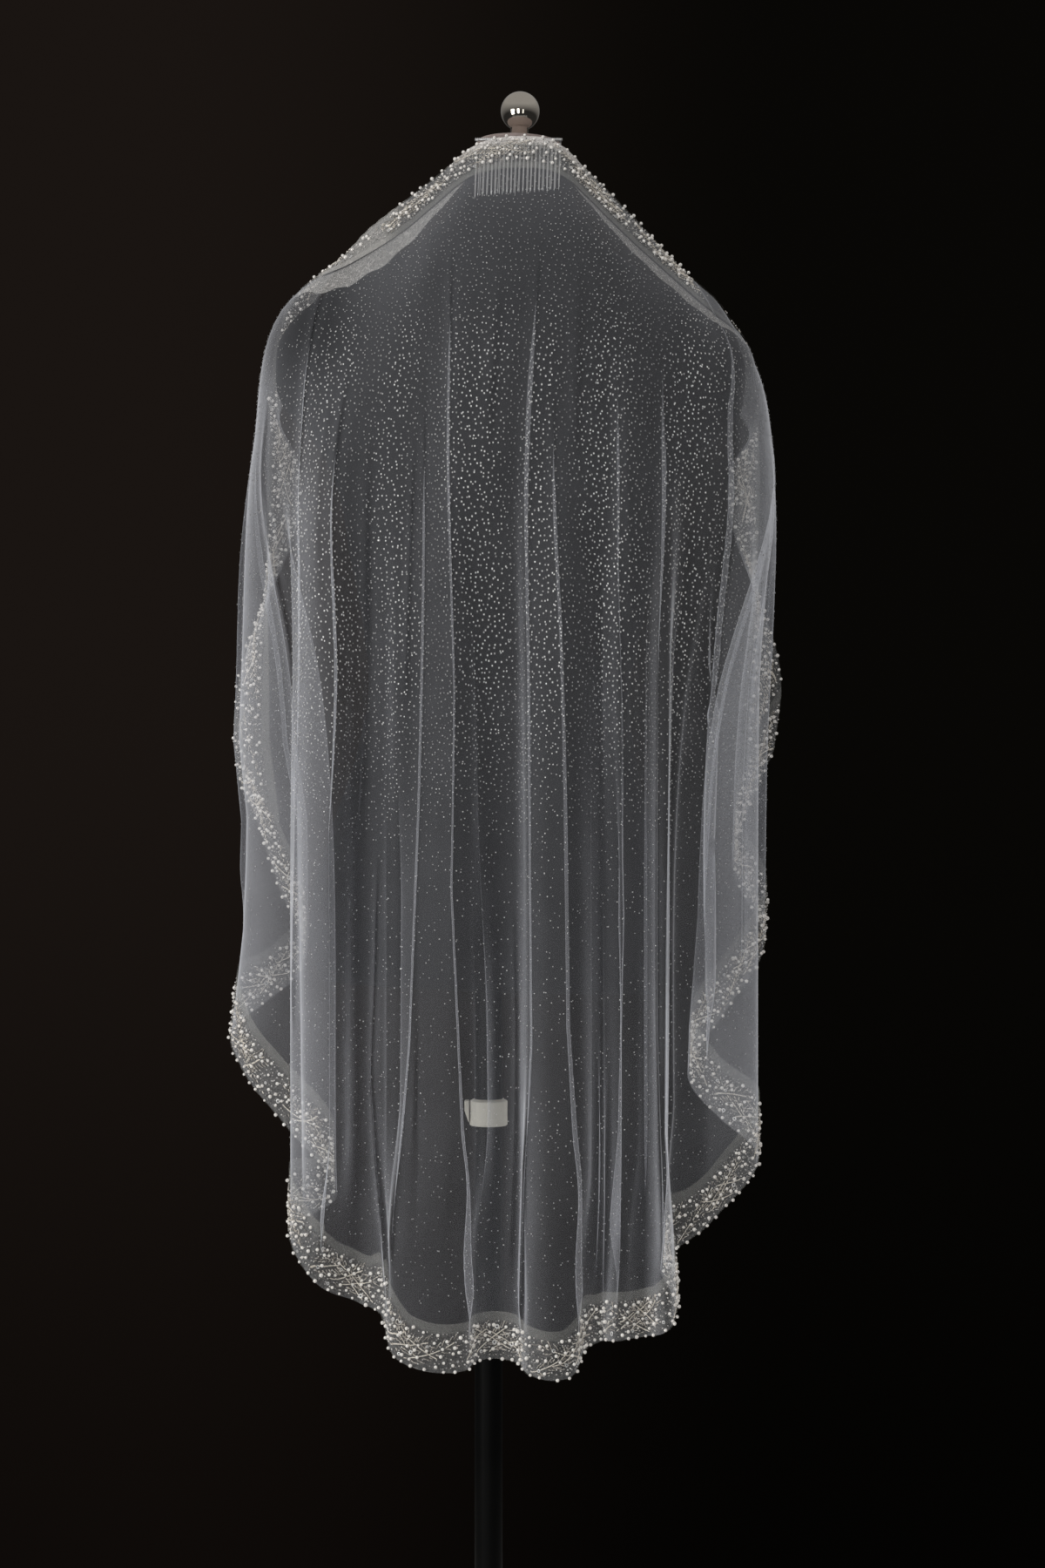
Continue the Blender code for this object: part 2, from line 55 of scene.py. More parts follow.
Pair = tuple[np.ndarray, np.ndarray]
Parts = tuple[np.ndarray, list[np.ndarray]]
Colour = tuple[float, float, float]

# ---------------------------------------------------------------------------------------------
# Sizes that the looks share with the solids. The tables are in millimetres.
# ---------------------------------------------------------------------------------------------
GAP = 0.3 * MM
FORM_BOTTOM = 820 * MM
FORM_LEAN = math.radians(2.07)
FORM_ROUNDNESS = 2.35
NECK_TOP = 1568 * MM
CAP_RADIUS = 38 * MM
CAP_HEIGHT = 10.5 * MM
CLEAR_OF_FORM = 3.4 * MM
BORDER_WIDTH = 41 * MM
BORDER_MARGIN = 7.5 * MM
TULLE = 1.2 * MM

# The form's sections: height, half width, depth to the back and depth to the front.
FORM_SECTIONS = (
    (820, 150, 92, 88), (850, 161, 98, 94), (900, 159, 99, 94), (960, 144, 92, 90),
    (1020, 126, 86, 84), (1080, 117, 78, 80), (1140, 124, 78, 92), (1200, 138, 84, 112),
    (1255, 150, 90, 120), (1300, 174, 92, 106), (1330, 202, 90, 94), (1365, 210, 84, 84),
    (1392, 206, 77, 76), (1414, 190, 70, 68), (1436, 160, 64, 61), (1458, 122, 57, 54),
    (1480, 88, 51, 49), (1505, 64, 47, 46), (1530, 50, 43, 43), (1568, 43, 40, 40),
)

# The veil's top edge and yoke: distance from the comb along the edge, then x, y, z.
TOP_EDGE = (
    (-333, -180, 90, 1368), (-270, -168, 60, 1420), (-210, -140, 18, 1461), (-157, -103, -22, 1494),
    (-119, -74, -38, 1513), (-68, -35, -44, 1542), (-37, -10, -44, 1562), (0, 26, -46, 1569),
    (37, 62, -44, 1563), (66, 85, -44, 1541), (110, 118, -39, 1509), (183, 170, -22, 1458),
    (240, 208, 2, 1428), (297, 228, 42, 1394), (360, 226, 90, 1350),
)
YOKE = (
    (-333, -194, 82, 1340), (-270, -192, 22, 1408), (-210, -163, -20, 1442), (-157, -119, -47, 1450),
    (-119, -84, -64, 1464), (-37, -14, -84, 1506), (0, 25, -86, 1511), (37, 64, -84, 1507),
    (110, 124, -70, 1466), (183, 186, -42, 1424), (240, 226, -12, 1394), (297, 246, 32, 1362),
    (360, 240, 82, 1322),
)
# Each fold, from the left front edge round the back: distance of its start along the top edge,
# its place in plan at the chest, its foot at the hem as x, y, z, and how far it has formed at
# the waist.
FOLDS = (
    (-333, -178, 99, -236, 72, 1008, 0.95),
    (-316, -191, 84, -220, 61, 962, 0.93),
    (-301, -202, 66, -200, 50, 904, 0.9),
    (-287, -208, 44, -173, 40, 836, 0.8),
    (-276, -211, 22, -203, 16, 804, 0.7),
    (-265, -211, 2, -230, 1, 780, 0.6),
    (-245, -207, -20, -214, -30, 742, 0.65),
    (-222, -198, -42, -176, -57, 700, 0.8),
    (-200, -184, -58, -131, -78, 642, 0.75),
    (-178, -165, -71, -169, -101, 616, 0.8),
    (-158, -142, -82, -145, -125, 574, 0.6),
    (-128, -108, -93, -111, -101, 554, 0.5),
    (-108, -89, -98, -91, -112, 546, 0.4),
    (-92, -73, -101, -78, -136, 514, 0.4),
    (-72, -52, -104, -49, -145, 503, 0.35),
    (-50, -31, -106, -21, -138, 502, 0.4),
    (-32, -16, -107, -8, -113, 506, 0.4),
    (-12, 3, -108, 8, -103, 506, 0.35),
    (8, 22, -108, 26, -110, 504, 0.45),
    (20, 34, -108, 36, -136, 499, 0.45),
    (32, 48, -107, 54, -147, 496, 0.4),
    (46, 63, -106, 72, -138, 498, 0.4),
    (58, 76, -105, 80, -115, 516, 0.4),
    (72, 91, -102, 94, -104, 521, 0.4),
    (92, 111, -97, 111, -130, 526, 0.5),
    (114, 132, -91, 132, -108, 526, 0.5),
    (138, 154, -83, 153, -130, 534, 0.6),
    (162, 178, -72, 169, -108, 553, 0.7),
    (184, 202, -59, 149, -83, 582, 0.7),
    (206, 222, -43, 193, -52, 614, 0.8),
    (232, 246, -16, 241, -6, 668, 0.8),
    (252, 254, 2, 216, 16, 700, 0.8),
    (268, 256, 16, 192, 34, 736, 0.75),
    (284, 257, 28, 228, 42, 796, 0.8),
    (300, 257, 42, 258, 54, 852, 0.85),
    (318, 253, 56, 229, 74, 922, 0.85),
    (334, 247, 68, 236, 84, 956, 0.92),
    (346, 239, 84, 252, 91, 996, 1.05),
    (360, 227, 99, 267, 98, 1031, 1.12),
)
LAST_FOLD = len(FOLDS) - 1
CHEST_HEIGHT = 1300 * MM
WAIST_HEIGHT = 1080 * MM
FRONT_BORDER_FOLDS = 2
STEEPEST_SLANT = 0.68

# Narrow pleats in the tulle: how far each is folded over, its half width in mm, then its course
# as pairs of a height in mm and the fold that it lies on, from the top down. Below 1 the cloth
# is only drawn together, and above it the pleat lies over itself.
CREASES = (
    (0.7, 5.0, ((1300, 11.42), (1240, 11.38), (1148, 11.34), (1069, 11.22), (960, 10.95))),
    (1.7, 2.6, ((930, 11.80), (840, 11.69), (752, 11.50), (678, 11.76), (567, 12.55))),
    (1.2, 2.6, ((1290, 13.55), (1264, 13.52), (1141, 13.34), (1090, 13.30))),
    (2.0, 3.0, ((1320, 13.95), (1190, 13.91), (983, 13.72), (776, 13.44), (678, 13.12),
                (604, 12.88))),
    (1.2, 2.2, ((830, 13.70), (776, 13.68), (700, 13.60))),
    (2.1, 3.0, ((1450, 14.95), (1075, 14.88), (911, 14.71), (703, 14.88), (604, 15.15), (545, 15.45))),
    (2.3, 3.4, ((1450, 19.08), (1240, 19.05), (911, 19.21), (776, 19.28), (604, 18.67), (545, 18.42))),
    (2.1, 3.0, ((1330, 20.58), (1240, 20.60), (1031, 20.62), (793, 20.60), (703, 20.80), (542, 21.45))),
    (2.0, 3.0, ((1370, 24.05), (1190, 24.00), (888, 24.25), (703, 24.09), (600, 23.85))),
    (2.1, 3.2, ((1370, 25.90), (1125, 25.80), (793, 25.78), (590, 25.99))),
    (1.6, 2.6, ((1180, 28.25), (1054, 28.94), (817, 28.97), (760, 28.90))),
    (2.1, 3.0, ((1430, 28.85), (1289, 28.42), (1092, 28.90), (799, 29.00))),
    (2.0, 3.2, ((1350, 10.50), (1077, 10.25), (959, 10.10), (605, 10.10))),
    (2.2, 3.0, ((1440, 8.90), (1350, 9.00), (1186, 9.50), (955, 9.45), (802, 9.36))),
    (0.8, 2.6, ((900, 17.90), (800, 18.05), (700, 18.00), (590, 17.70))),
    (0.8, 2.6, ((780, 22.65), (700, 22.70), (580, 22.60))),
    (0.8, 2.6, ((760, 23.40), (640, 23.30), (560, 23.20))),
    (1.8, 3.6, ((1330, 7.10), (1150, 7.30), (900, 7.20))),
    (1.5, 3.4, ((1280, 5.30), (1100, 5.10), (900, 5.20))),
    (1.7, 3.6, ((1300, 3.60), (1130, 3.40), (950, 3.30))),
    (1.5, 3.4, ((1290, 30.80), (1100, 30.60), (820, 30.55))),
    (1.8, 3.6, ((1300, 32.60), (1120, 32.40), (880, 32.30))),
    (1.5, 3.4, ((1280, 34.60), (1150, 34.50), (980, 34.40))),
    (0.5, 5.0, ((1440, 17.20), (1380, 17.10), (1300, 17.00))),
    (0.5, 5.0, ((1430, 21.80), (1370, 22.00), (1290, 22.20))),
)
# Broad pleats: how far the cloth steps out, across what width and back over what width, all in
# mm, then the course of the middle of the step.
BANDS = (
    (20, 24, 44, ((1340, 9.70), (1241, 9.70), (1016, 9.75), (803, 9.80), (624, 9.85))),
    (-9, 16, 26, ((1060, 12.50), (850, 12.50), (660, 12.50))),
    (12, 24, 85, ((1400, 14.50), (1239, 14.44), (1121, 14.32), (912, 14.17), (704, 14.15),
                  (600, 14.00))),
    (9, 14, 30, ((960, 15.60), (800, 15.60), (640, 15.60))),
    (12, 26, 70, ((1290, 19.95), (1121, 19.90), (912, 19.78), (705, 19.75), (600, 19.75))),
    (10, 14, 70, ((1380, 24.05), (1190, 24.05), (888, 24.25), (703, 24.10), (620, 24.05))),
    (-10, 18, 22, ((1060, 23.50), (800, 23.50), (540, 23.50))),
)
# Where the cloth hangs to one side of its fold lines: the shift to +X and to +Y in mm, the folds
# between which it grows, holds and fades, and its share at heights in mm.
SWAY = (
    (9, 0, (-1, 0, 6, 8), ((770, 0), (870, 1), (970, 1), (1040, 0))),
    (6, 0, (20.9, 22.0, 23.0, 23.7), ((520, 0.6), (640, 1), (1120, 1), (1300, 0))),
    (4, 0, (24.5, 25.0, 25.2, 25.8), ((560, 0.6), (680, 1), (1180, 1), (1300, 0))),
    (-15, 12, (25.95, 26.9, 27.1, 28.0), ((520, 0.3), (620, 0.6), (700, 1), (1120, 0.8), (1300, 0))),
    (11, 0, (27.1, 28.0, 28.2, 29.3), ((560, 0), (640, 0.4), (720, 1), (1120, 0.7), (1300, 0))),
    (-12, 0, (29.8, 31.5, 38, 39), ((520, 0.2), (600, 0.6), (680, 0.95), (780, 1), (880, 0.5),
                                    (1017, 0.35), (1120, 0))),
)
# Where the tulle is gathered finely, so that more of it lies in the same width: how much more, the
# folds between which it grows, holds and fades, and the heights in mm for the same.
GATHERS = (
    (0.50, (8.8, 9.2, 10.2, 10.5), (540, 640, 1200, 1330)),
    (0.50, (2.5, 4.0, 6.0, 7.5), (700, 800, 1120, 1300)),
    (0.65, (28.7, 29.3, 33.0, 34.5), (600, 680, 1260, 1380)),
    (-0.45, (0.0, 2.0, 9.5, 11.5), (1335, 1400, 1480, 1520)),
    (-0.45, (28.0, 30.0, 37.0, 39.0), (1335, 1400, 1480, 1520)),
)
# Painted glint of the stones over the upper back, as pairs of a fold and a share: in streaks, where
# the cloth turns its face to the light, the stones get a lighter painted tone and a larger size.
PAINTED_GLINT_STREAKS = (
    (0.0, 0.2), (8.5, 0.3), (9.3, 0.75), (10.2, 1.0), (11.1, 0.2), (12.0, 0.65), (12.8, 1.0),
    (14.0, 0.1), (15.2, 0.75), (16.3, 1.0), (17.2, 0.9), (18.2, 0.15), (19.2, 0.8), (20.0, 1.0),
    (21.5, 0.1), (22.6, 0.75), (23.5, 1.0), (24.6, 0.55), (25.6, 0.1), (26.4, 0.75), (27.1, 1.0),
    (28.3, 0.5), (29.5, 0.2), (38.0, 0.2),
)


def table(rows: Sequence[Sequence[float]]) -> np.ndarray:
    """A table of millimetres as an array of metres."""
    return np.array(rows, float) * MM


def ease(value: np.ndarray) -> np.ndarray:
    """Smooth step: 0 below 0, 1 above 1, and 3v^2 - 2v^3 between."""
    value = np.clip(value, 0.0, 1.0)
    return value * value * (3 - 2 * value)


def fade(value: np.ndarray, start: float, end: float) -> np.ndarray:
    """Smooth step that is 0 at the start and 1 at the end, which may be the lower one."""
    return ease((value - start) / (end - start))


def swell(value: np.ndarray, marks: Sequence[float]) -> np.ndarray:
    """Smooth rise from the first mark to the second, and fall from the third to the fourth."""
    return ease(np.interp(value, marks, SWELL))


def unit(vectors: np.ndarray) -> np.ndarray:
    """The vectors of the last axis at length 1."""
    return vectors / np.maximum(np.linalg.norm(vectors, axis=-1, keepdims=True), 1e-9)


def square_to(direction: np.ndarray, out: np.ndarray) -> np.ndarray:
    """Unit directions with what points along the unit vectors out taken off."""
    return unit(direction - out * np.sum(direction * out, axis=-1, keepdims=True))


def hermite(t: np.ndarray, width: np.ndarray, ends: Pair, slopes: Pair) -> np.ndarray:
    """Cubic over a span, by the values and slopes at its ends.

    Args:
        t: shares of the span to read.
        width: width of the span.
        ends: values at its start and end.
        slopes: slopes there.

    Returns:
        The values at the shares.
    """
    lean = (1 - t) * slopes[0] - t * slopes[1]
    return (1 + 2 * t) * (1 - t) ** 2 * ends[0] + t * t * (3 - 2 * t) * ends[1] + width * t * (1 - t) * lean


def smooth(knots: np.ndarray, values: np.ndarray, at: np.ndarray) -> np.ndarray:
    """Hermite cubics through values, whose slopes are the central differences.

    Args:
        knots: rising places, one per value.
        values: the values, with the knots along the first axis.
        at: places to read.

    Returns:
        The values at the places.
    """
    values = np.asarray(values, float)
    slopes = np.gradient(values, knots, axis=0)
    span = np.clip(np.searchsorted(knots, at, side="right") - 1, 0, len(knots) - 2)
    width = (knots[span + 1] - knots[span]).reshape(-1, *[1] * (values.ndim - 1))
    t = (at - knots[span]).reshape(width.shape) / width
    return hermite(t, width, (values[span], values[span + 1]), (slopes[span], slopes[span + 1]))


def smooth_down(knots: np.ndarray, values: np.ndarray, share: np.ndarray) -> np.ndarray:
    """The same cubics down many lines at once, where each line has its own knots.

    Args:
        knots: rising places as (line, knot).
        values: points as (line, knot, xyz).
        share: places to read on every line, as shares of its last knot.

    Returns:
        Points as (line, share, xyz).
    """
    step = np.diff(knots, axis=1)[..., None]
    rise = np.diff(values, axis=1) / step
    inner = (step[:, :-1] * rise[:, 1:] + step[:, 1:] * rise[:, :-1]) / (step[:, :-1] + step[:, 1:])
    slopes = np.concatenate([rise[:, :1], inner, rise[:, -1:]], axis=1)
    line, span, t = spans(knots, share[None] * knots[:, -1:])
    ends = values[line, span], values[line, span + 1]
    return hermite(t, step[line, span], ends, (slopes[line, span], slopes[line, span + 1]))


def spans(knots: np.ndarray, at: np.ndarray) -> tuple[np.ndarray, np.ndarray, np.ndarray]:
    """Where places lie between the knots of their line.

    Args:
        knots: rising places as (line, knot).
        at: places to find, as (line, place).

    Returns:
        The line and the span of each place, as indices, and its share of the span.
    """
    span = (at[:, :, None] >= knots[:, None, 1:-1]).sum(axis=2)
    line = np.arange(len(knots))[:, None]
    share = (at - knots[line, span]) / (knots[line, span + 1] - knots[line, span])
    return line, span, share[..., None]


def lengths_along(path: np.ndarray) -> np.ndarray:
    """Running length along the second last axis of points, starting at nought."""
    steps = np.linalg.norm(np.diff(path, axis=-2), axis=-1)
    return np.concatenate([np.zeros_like(steps[..., :1]), np.cumsum(steps, axis=-1)], axis=-1)


def tilted(points: np.ndarray, back: bool = False) -> np.ndarray:
    """Points of the upright form after it has leant towards +X.

    Args:
        points: points with xyz along the last axis.
        back: whether to undo the lean instead.

    Returns:
        The moved points.
    """
    points = np.array(points, float)
    lean = -FORM_LEAN if back else FORM_LEAN
    x, z = points[..., 0].copy(), points[..., 2] - FORM_BOTTOM
    points[..., 0] = x * math.cos(lean) + z * math.sin(lean)
    points[..., 2] = FORM_BOTTOM - x * math.sin(lean) + z * math.cos(lean)
    return points


def form_section(heights: np.ndarray) -> np.ndarray:
    """The form's size at heights.

    Args:
        heights: heights up the upright form.

    Returns:
        Half width, depth to the back and depth to the front, along a new last axis.
    """
    form = table(FORM_SECTIONS)
    flat = np.clip(np.ravel(heights), form[0, 0], form[-1, 0])
    return smooth(form[:, 0], form[:, 1:], flat).reshape(*np.shape(heights), 3)


def clear_of_form(points: np.ndarray) -> np.ndarray:
    """Cloth points moved out sideways wherever they come nearer to the form than they may.

    A section is the superellipse |x/a|^p + |y/b|^p = 1, and a point inside the one that is
    wider by the clearance moves out from the axis on to it.

    Args:
        points: points with xyz along the last axis.

    Returns:
        The points, clear of the form.
    """
    local = tilted(points, back=True)
    across, back, front = np.moveaxis(form_section(local[..., 2]), -1, 0)
    deep = np.where(local[..., 1] < 0, back, front)
    power = FORM_ROUNDNESS
    reach = np.abs(local[..., 0] / across) ** power + np.abs(local[..., 1] / deep) ** power
    reach = np.maximum(reach ** (1 / power), 1e-6)
    least = 1 + CLEAR_OF_FORM / np.minimum(across, deep)
    beside = (local[..., 2] > FORM_BOTTOM - BORDER_WIDTH) & (local[..., 2] < NECK_TOP)
    local[..., :2] *= np.where(beside & (reach < least), least / reach, 1.0)[..., None]
    return tilted(local)


# ---------------------------------------------------------------------------------------------
# Meshes from arrays
# ---------------------------------------------------------------------------------------------
def grid_faces(columns: int, rows: int, wrap: bool = False) -> np.ndarray:
    """Quads of a grid of points stored column by column.

    Args:
        columns: number of columns.
        rows: points in each column.
        wrap: whether the last column joins the first.

    Returns:
        Point indices as (quad, corner).
    """
    index = np.arange(columns * rows).reshape(columns, rows)
    after = np.roll(index, -1, axis=0)
    if not wrap:
        index, after = index[:-1], after[:-1]
    corners = (index[:, :-1], after[:, :-1], after[:, 1:], index[:, 1:])
    return np.stack([corner.ravel() for corner in corners], axis=1)


def make_mesh(name: str, parts: Parts, soft: bool = True, sharp: float | None = None) -> bpy.types.Mesh:
    """A mesh from arrays.

    Args:
        name: name of the mesh.
        parts: points as (point, xyz), and arrays of point indices, one row a face.
        soft: whether faces are shaded smooth.
        sharp: angle in degrees from which an edge stays sharp.

    Returns:
        The mesh.
    """
    points, faces = parts
    mesh = bpy.data.meshes.new(name)
    mesh.vertices.add(len(points))
    mesh.vertices.foreach_set("co", np.asarray(points, np.float32).ravel())
    sizes = np.concatenate([np.full(len(some), some.shape[1]) for some in faces])
    corners = np.concatenate([some.ravel() for some in faces]).astype(np.int32)
    mesh.loops.add(len(corners))
    mesh.loops.foreach_set("vertex_index", corners)
    mesh.polygons.add(len(sizes))
    starts = np.concatenate([[0], np.cumsum(sizes)[:-1]]).astype(np.int32)
    mesh.polygons.foreach_set("loop_start", starts)
    mesh.polygons.foreach_set("use_smooth", np.full(len(sizes), soft))
    mesh.update(calc_edges=True)
    mesh.validate()
    if sharp:
        mesh.set_sharp_from_angle(angle=math.radians(sharp))
    return mesh


def add_map(mesh: bpy.types.Mesh, *places: np.ndarray) -> None:
    """Gives the mesh a UV map in metres.

    Args:
        mesh: the mesh.
        places: an array of u and one of v over its points.
    """
    layer = mesh.uv_layers.new(name="cloth")
    corner = np.empty(len(mesh.loops), np.int32)
    mesh.loops.foreach_get("vertex_index", corner)
    pairs = np.stack(np.broadcast_arrays(*places), axis=-1).reshape(-1, 2)
    layer.data.foreach_set("uv", pairs[corner].astype(np.float32).ravel())


def add_values(mesh: bpy.types.Mesh, name: str, values: np.ndarray) -> None:
    """Gives the mesh one number for each point, under a name that its finish reads."""
    layer = mesh.attributes.new(name, "FLOAT", "POINT")
    layer.data.foreach_set("value", values.ravel().astype(np.float32))


def place(mesh: bpy.types.Mesh, finish: "Finish", slot: str, *replaced: str) -> bpy.types.Object:
    """Puts a mesh into the scene as a piece of the part.

    Args:
        mesh: the piece's mesh, with its place in its points.
        finish: its finish.
        slot: the record's material slot; not used.
        replaced: CAD nodes that the piece stands for.

    Returns:
        The object.
    """
    mesh.materials.append(finish.material())
    piece = bpy.data.objects.new(mesh.name, mesh)
    bpy.context.scene.collection.objects.link(piece)
    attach(piece, BODY)
    if replaced:
        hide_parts(*replaced)
    LOG.info("%s: %d faces", piece.name, len(mesh.polygons))
    return piece


def circle(steps: int) -> np.ndarray:
    """Points (cos a, sin a) at even steps round."""
    turn = np.linspace(0, 2 * math.pi, steps, endpoint=False)
    return np.column_stack([np.cos(turn), np.sin(turn)])


def lathe(profile: Sequence[tuple[float, float]], segments: int, ring: bool = False) -> Parts:
    """A profile of (radius, height) turned about the Z axis.

    The point of step k at the angle a is (r cos a, r sin a, z). The profile runs up its outer
    side. A profile that starts and ends on the axis gets a single point at each pole.

    Args:
        profile: points as (radius, height).
        segments: steps round.
        ring: whether the profile is a loop that stays off the axis.

    Returns:
        Points and arrays of faces.
    """
    profile = np.array(profile)
    body = profile if ring else profile[1:-1]
    points = np.concatenate([
        circle(segments)[:, None, :] * body[None, :, :1],
        np.broadcast_to(body[None, :, 1:], (segments, len(body), 1)),
    ], axis=2)
    if ring:
        points = np.concatenate([points, points[:, :1]], axis=1)
        home = np.arange(points.shape[0] * points.shape[1]).reshape(segments, -1)
        home[:, -1] = home[:, 0]
        return points.reshape(-1, 3), [home.ravel()[grid_faces(segments, len(body) + 1, wrap=True)]]
    flat = points.reshape(-1, 3)
    low, high = len(flat), len(flat) + 1
    flat = np.concatenate([flat, [[0, 0, profile[0, 1]], [0, 0, profile[-1, 1]]]])
    home = np.arange(low).reshape(segments, -1)
    after = np.roll(home, -1, axis=0)
    foot = np.stack([np.full(segments, low), after[:, 0], home[:, 0]], axis=1)
    crown = np.stack([np.full(segments, high), home[:, -1], after[:, -1]], axis=1)
    return flat, [grid_faces(segments, len(body), wrap=True), foot, crown]


def rings(points: np.ndarray, flip: bool = False) -> Parts:
    """A closed body from points as (side, ring, xyz).

    Args:
        points: its points, where the last side joins the first and each end gets a flat face.
        flip: whether its faces are turned over.

    Returns:
        Points and arrays of faces.
    """
    sides, count = points.shape[:2]
    home = np.arange(sides * count).reshape(sides, count)
    faces = [grid_faces(sides, count, wrap=True), home[::-1, 0][None], home[:, -1][None]]
    return points.reshape(-1, 3), [some[:, ::-1] for some in faces] if flip else faces


def arc(
    radius: float, start: float, end: float, steps: int, centre: tuple[float, float]
) -> list[tuple[float, float]]:
    """Points of a profile on an arc, by angles in degrees from the horizontal."""
    angles = np.radians(np.linspace(start, end, steps + 1))
    return [(centre[0] + radius * math.cos(a), centre[1] + radius * math.sin(a)) for a in angles]


def tube(path: np.ndarray, radius: float | np.ndarray, sides: int) -> Parts:
    """A round wire along a path, closed at both ends.

    Each ring is the circle of the radius in the plane across the path, spanned by the path's
    normal towards a fixed side and the cross product of the two.

    Args:
        path: points of its middle.
        radius: one radius, or one for each point.
        sides: steps round.

    Returns:
        Points and arrays of faces.
    """
    along = unit(np.gradient(path, axis=0))
    side = unit(np.cross(along, (0.13, 1.0, 0.21)))
    cos, sin = circle(sides).T[..., None, None]
    radii = np.broadcast_to(radius, len(path))[None, :, None]
    return rings(path[None] + radii * (cos * side[None] + sin * np.cross(along, side)[None]))


def joined(parts: Sequence[Parts]) -> Parts:
    """Several meshes as one.

    Args:
        parts: points and faces of each.

    Returns:
        All points, and all faces.
    """
    starts = np.cumsum([0] + [len(points) for points, _ in parts[:-1]])
    faces = [some + start for (_, group), start in zip(parts, starts) for some in group]
    return np.concatenate([points for points, _ in parts]), faces


@dataclass(frozen=True)
class Shape:
    """A small shape of about unit size that is set many times over a surface.

    Attributes:
        points: its points, with z away from the cloth.
        faces: arrays of faces.
    """

    points: np.ndarray
    faces: list[np.ndarray]

    @staticmethod
    def ball(sides: int, steps: int) -> "Shape":
        """A ball of radius 1 with its poles on z."""
        return Shape(*lathe(arc(1.0, -90, 90, steps, (0.0, 0.0)), sides))

    @staticmethod
    def rod(sides: int) -> "Shape":
        """A closed rod of radius 1 along x, from -1 to 1."""
        ring = np.insert(circle(sides), 0, 0.0, axis=1)
        return Shape(*rings(np.stack([ring - [1, 0, 0], ring + [1, 0, 0]], axis=1), flip=True))

    @staticmethod
    def washer(sides: int, hole: float, thick: float) -> "Shape":
        """A flat ring of radius 1 with a hole, lying across z."""
        return Shape(*lathe([(hole, 0.0), (1.0, 0.0), (1.0, thick), (hole, thick)], sides, ring=True))

    @staticmethod
    def gem(sides: int, table_size: float, rise: float) -> "Shape":
        """A cut stone: a rim of radius 1, slanting facets and a flat table."""
        ring = np.insert(circle(sides), 2, 0.0, axis=1)
        return Shape(*rings(np.stack([ring, ring * [table_size, table_size, 1] + [0, 0, rise]], axis=1)))

    def set_at(self, places: np.ndarray, axes: np.ndarray, sizes: np.ndarray) -> Parts:
        """Copies of the shape.

        A point p of a copy is place + sum over k of size_k p_k axis_k.

        Args:
            places: centres as (copy, xyz).
            axes: each copy's three axes as (copy, axis, xyz).
            sizes: scale along each axis as (copy, axis).

        Returns:
            Points and arrays of faces.
        """
        points = places[:, None] + np.einsum("pk,nk,nkj->npj", self.points, sizes, axes)
        starts = (np.arange(len(places)) * len(self.points))[:, None, None]
        faces = [(some[None] + starts).reshape(-1, some.shape[1]) for some in self.faces]
        return points.reshape(-1, 3), faces

    def spread(self, values: np.ndarray) -> np.ndarray:
        """One value a copy, repeated for each of the copy's points."""
        return np.repeat(values, len(self.points))


# ---------------------------------------------------------------------------------------------
# Finishes
# ---------------------------------------------------------------------------------------------
class Board:
    """A node tree, with short ways to add to it."""

    def __init__(self, tree: bpy.types.NodeTree) -> None:
        """Takes the tree."""
        self.tree = tree

    def node(self, kind: str, inputs: dict | None = None, **settings: object) -> bpy.types.Node:
        """Adds a node.

        Args:
            kind: its type, without the word ShaderNode.
            inputs: values or links by the names or numbers of its sockets.
            settings: its own settings, which are set first.

        Returns:
            The node.
        """
        made = self.tree.nodes.new("ShaderNode" + kind)
        for name, value in settings.items():
            setattr(made, name, value)
        for name, value in (inputs or {}).items():
            self.feed(made.inputs[name], value)
        return made

    def feed(self, socket: bpy.types.NodeSocket, value: object) -> None:
        """Feeds one socket of a node.

        Args:
            socket: the socket.
            value: a signal or a socket to link to it, or its number or colour.
        """
        source = value.socket if isinstance(value, Signal) else value
        if isinstance(source, bpy.types.NodeSocket):
            self.tree.links.new(source, socket)
        else:
            socket.default_value = source

    def signal(
        self, kind: str, output: str | int, inputs: dict | None = None, **settings: object
    ) -> "Signal":
        """Adds a node and takes one of its outputs as a number."""
        return Signal(self, self.node(kind, inputs, **settings).outputs[output])

    def noise(self, at: bpy.types.NodeSocket, scale: float, detail: float = 2.0) -> "Signal":
        """Soft noise from 0 to 1, with the scale in features per metre."""
        return self.signal("TexNoise", "Fac", {"Vector": at, "Scale": scale, "Detail": detail})

    def mix(self, share: "Signal", first: Sequence[float], second: Sequence[float]) -> bpy.types.NodeSocket:
        """A colour between two.

        Args:
            share: share of the second colour, from 0 to 1.
            first: one colour, as three numbers or a socket.
            second: the other.

        Returns:
            The mixed colour.
        """
        made = self.node("Mix", {"Factor": share}, data_type="RGBA")
        for socket, colour in ((made.inputs[6], first), (made.inputs[7], second)):
            self.feed(socket, colour if isinstance(colour, bpy.types.NodeSocket) else (*colour, 1.0))
        return made.outputs[2]


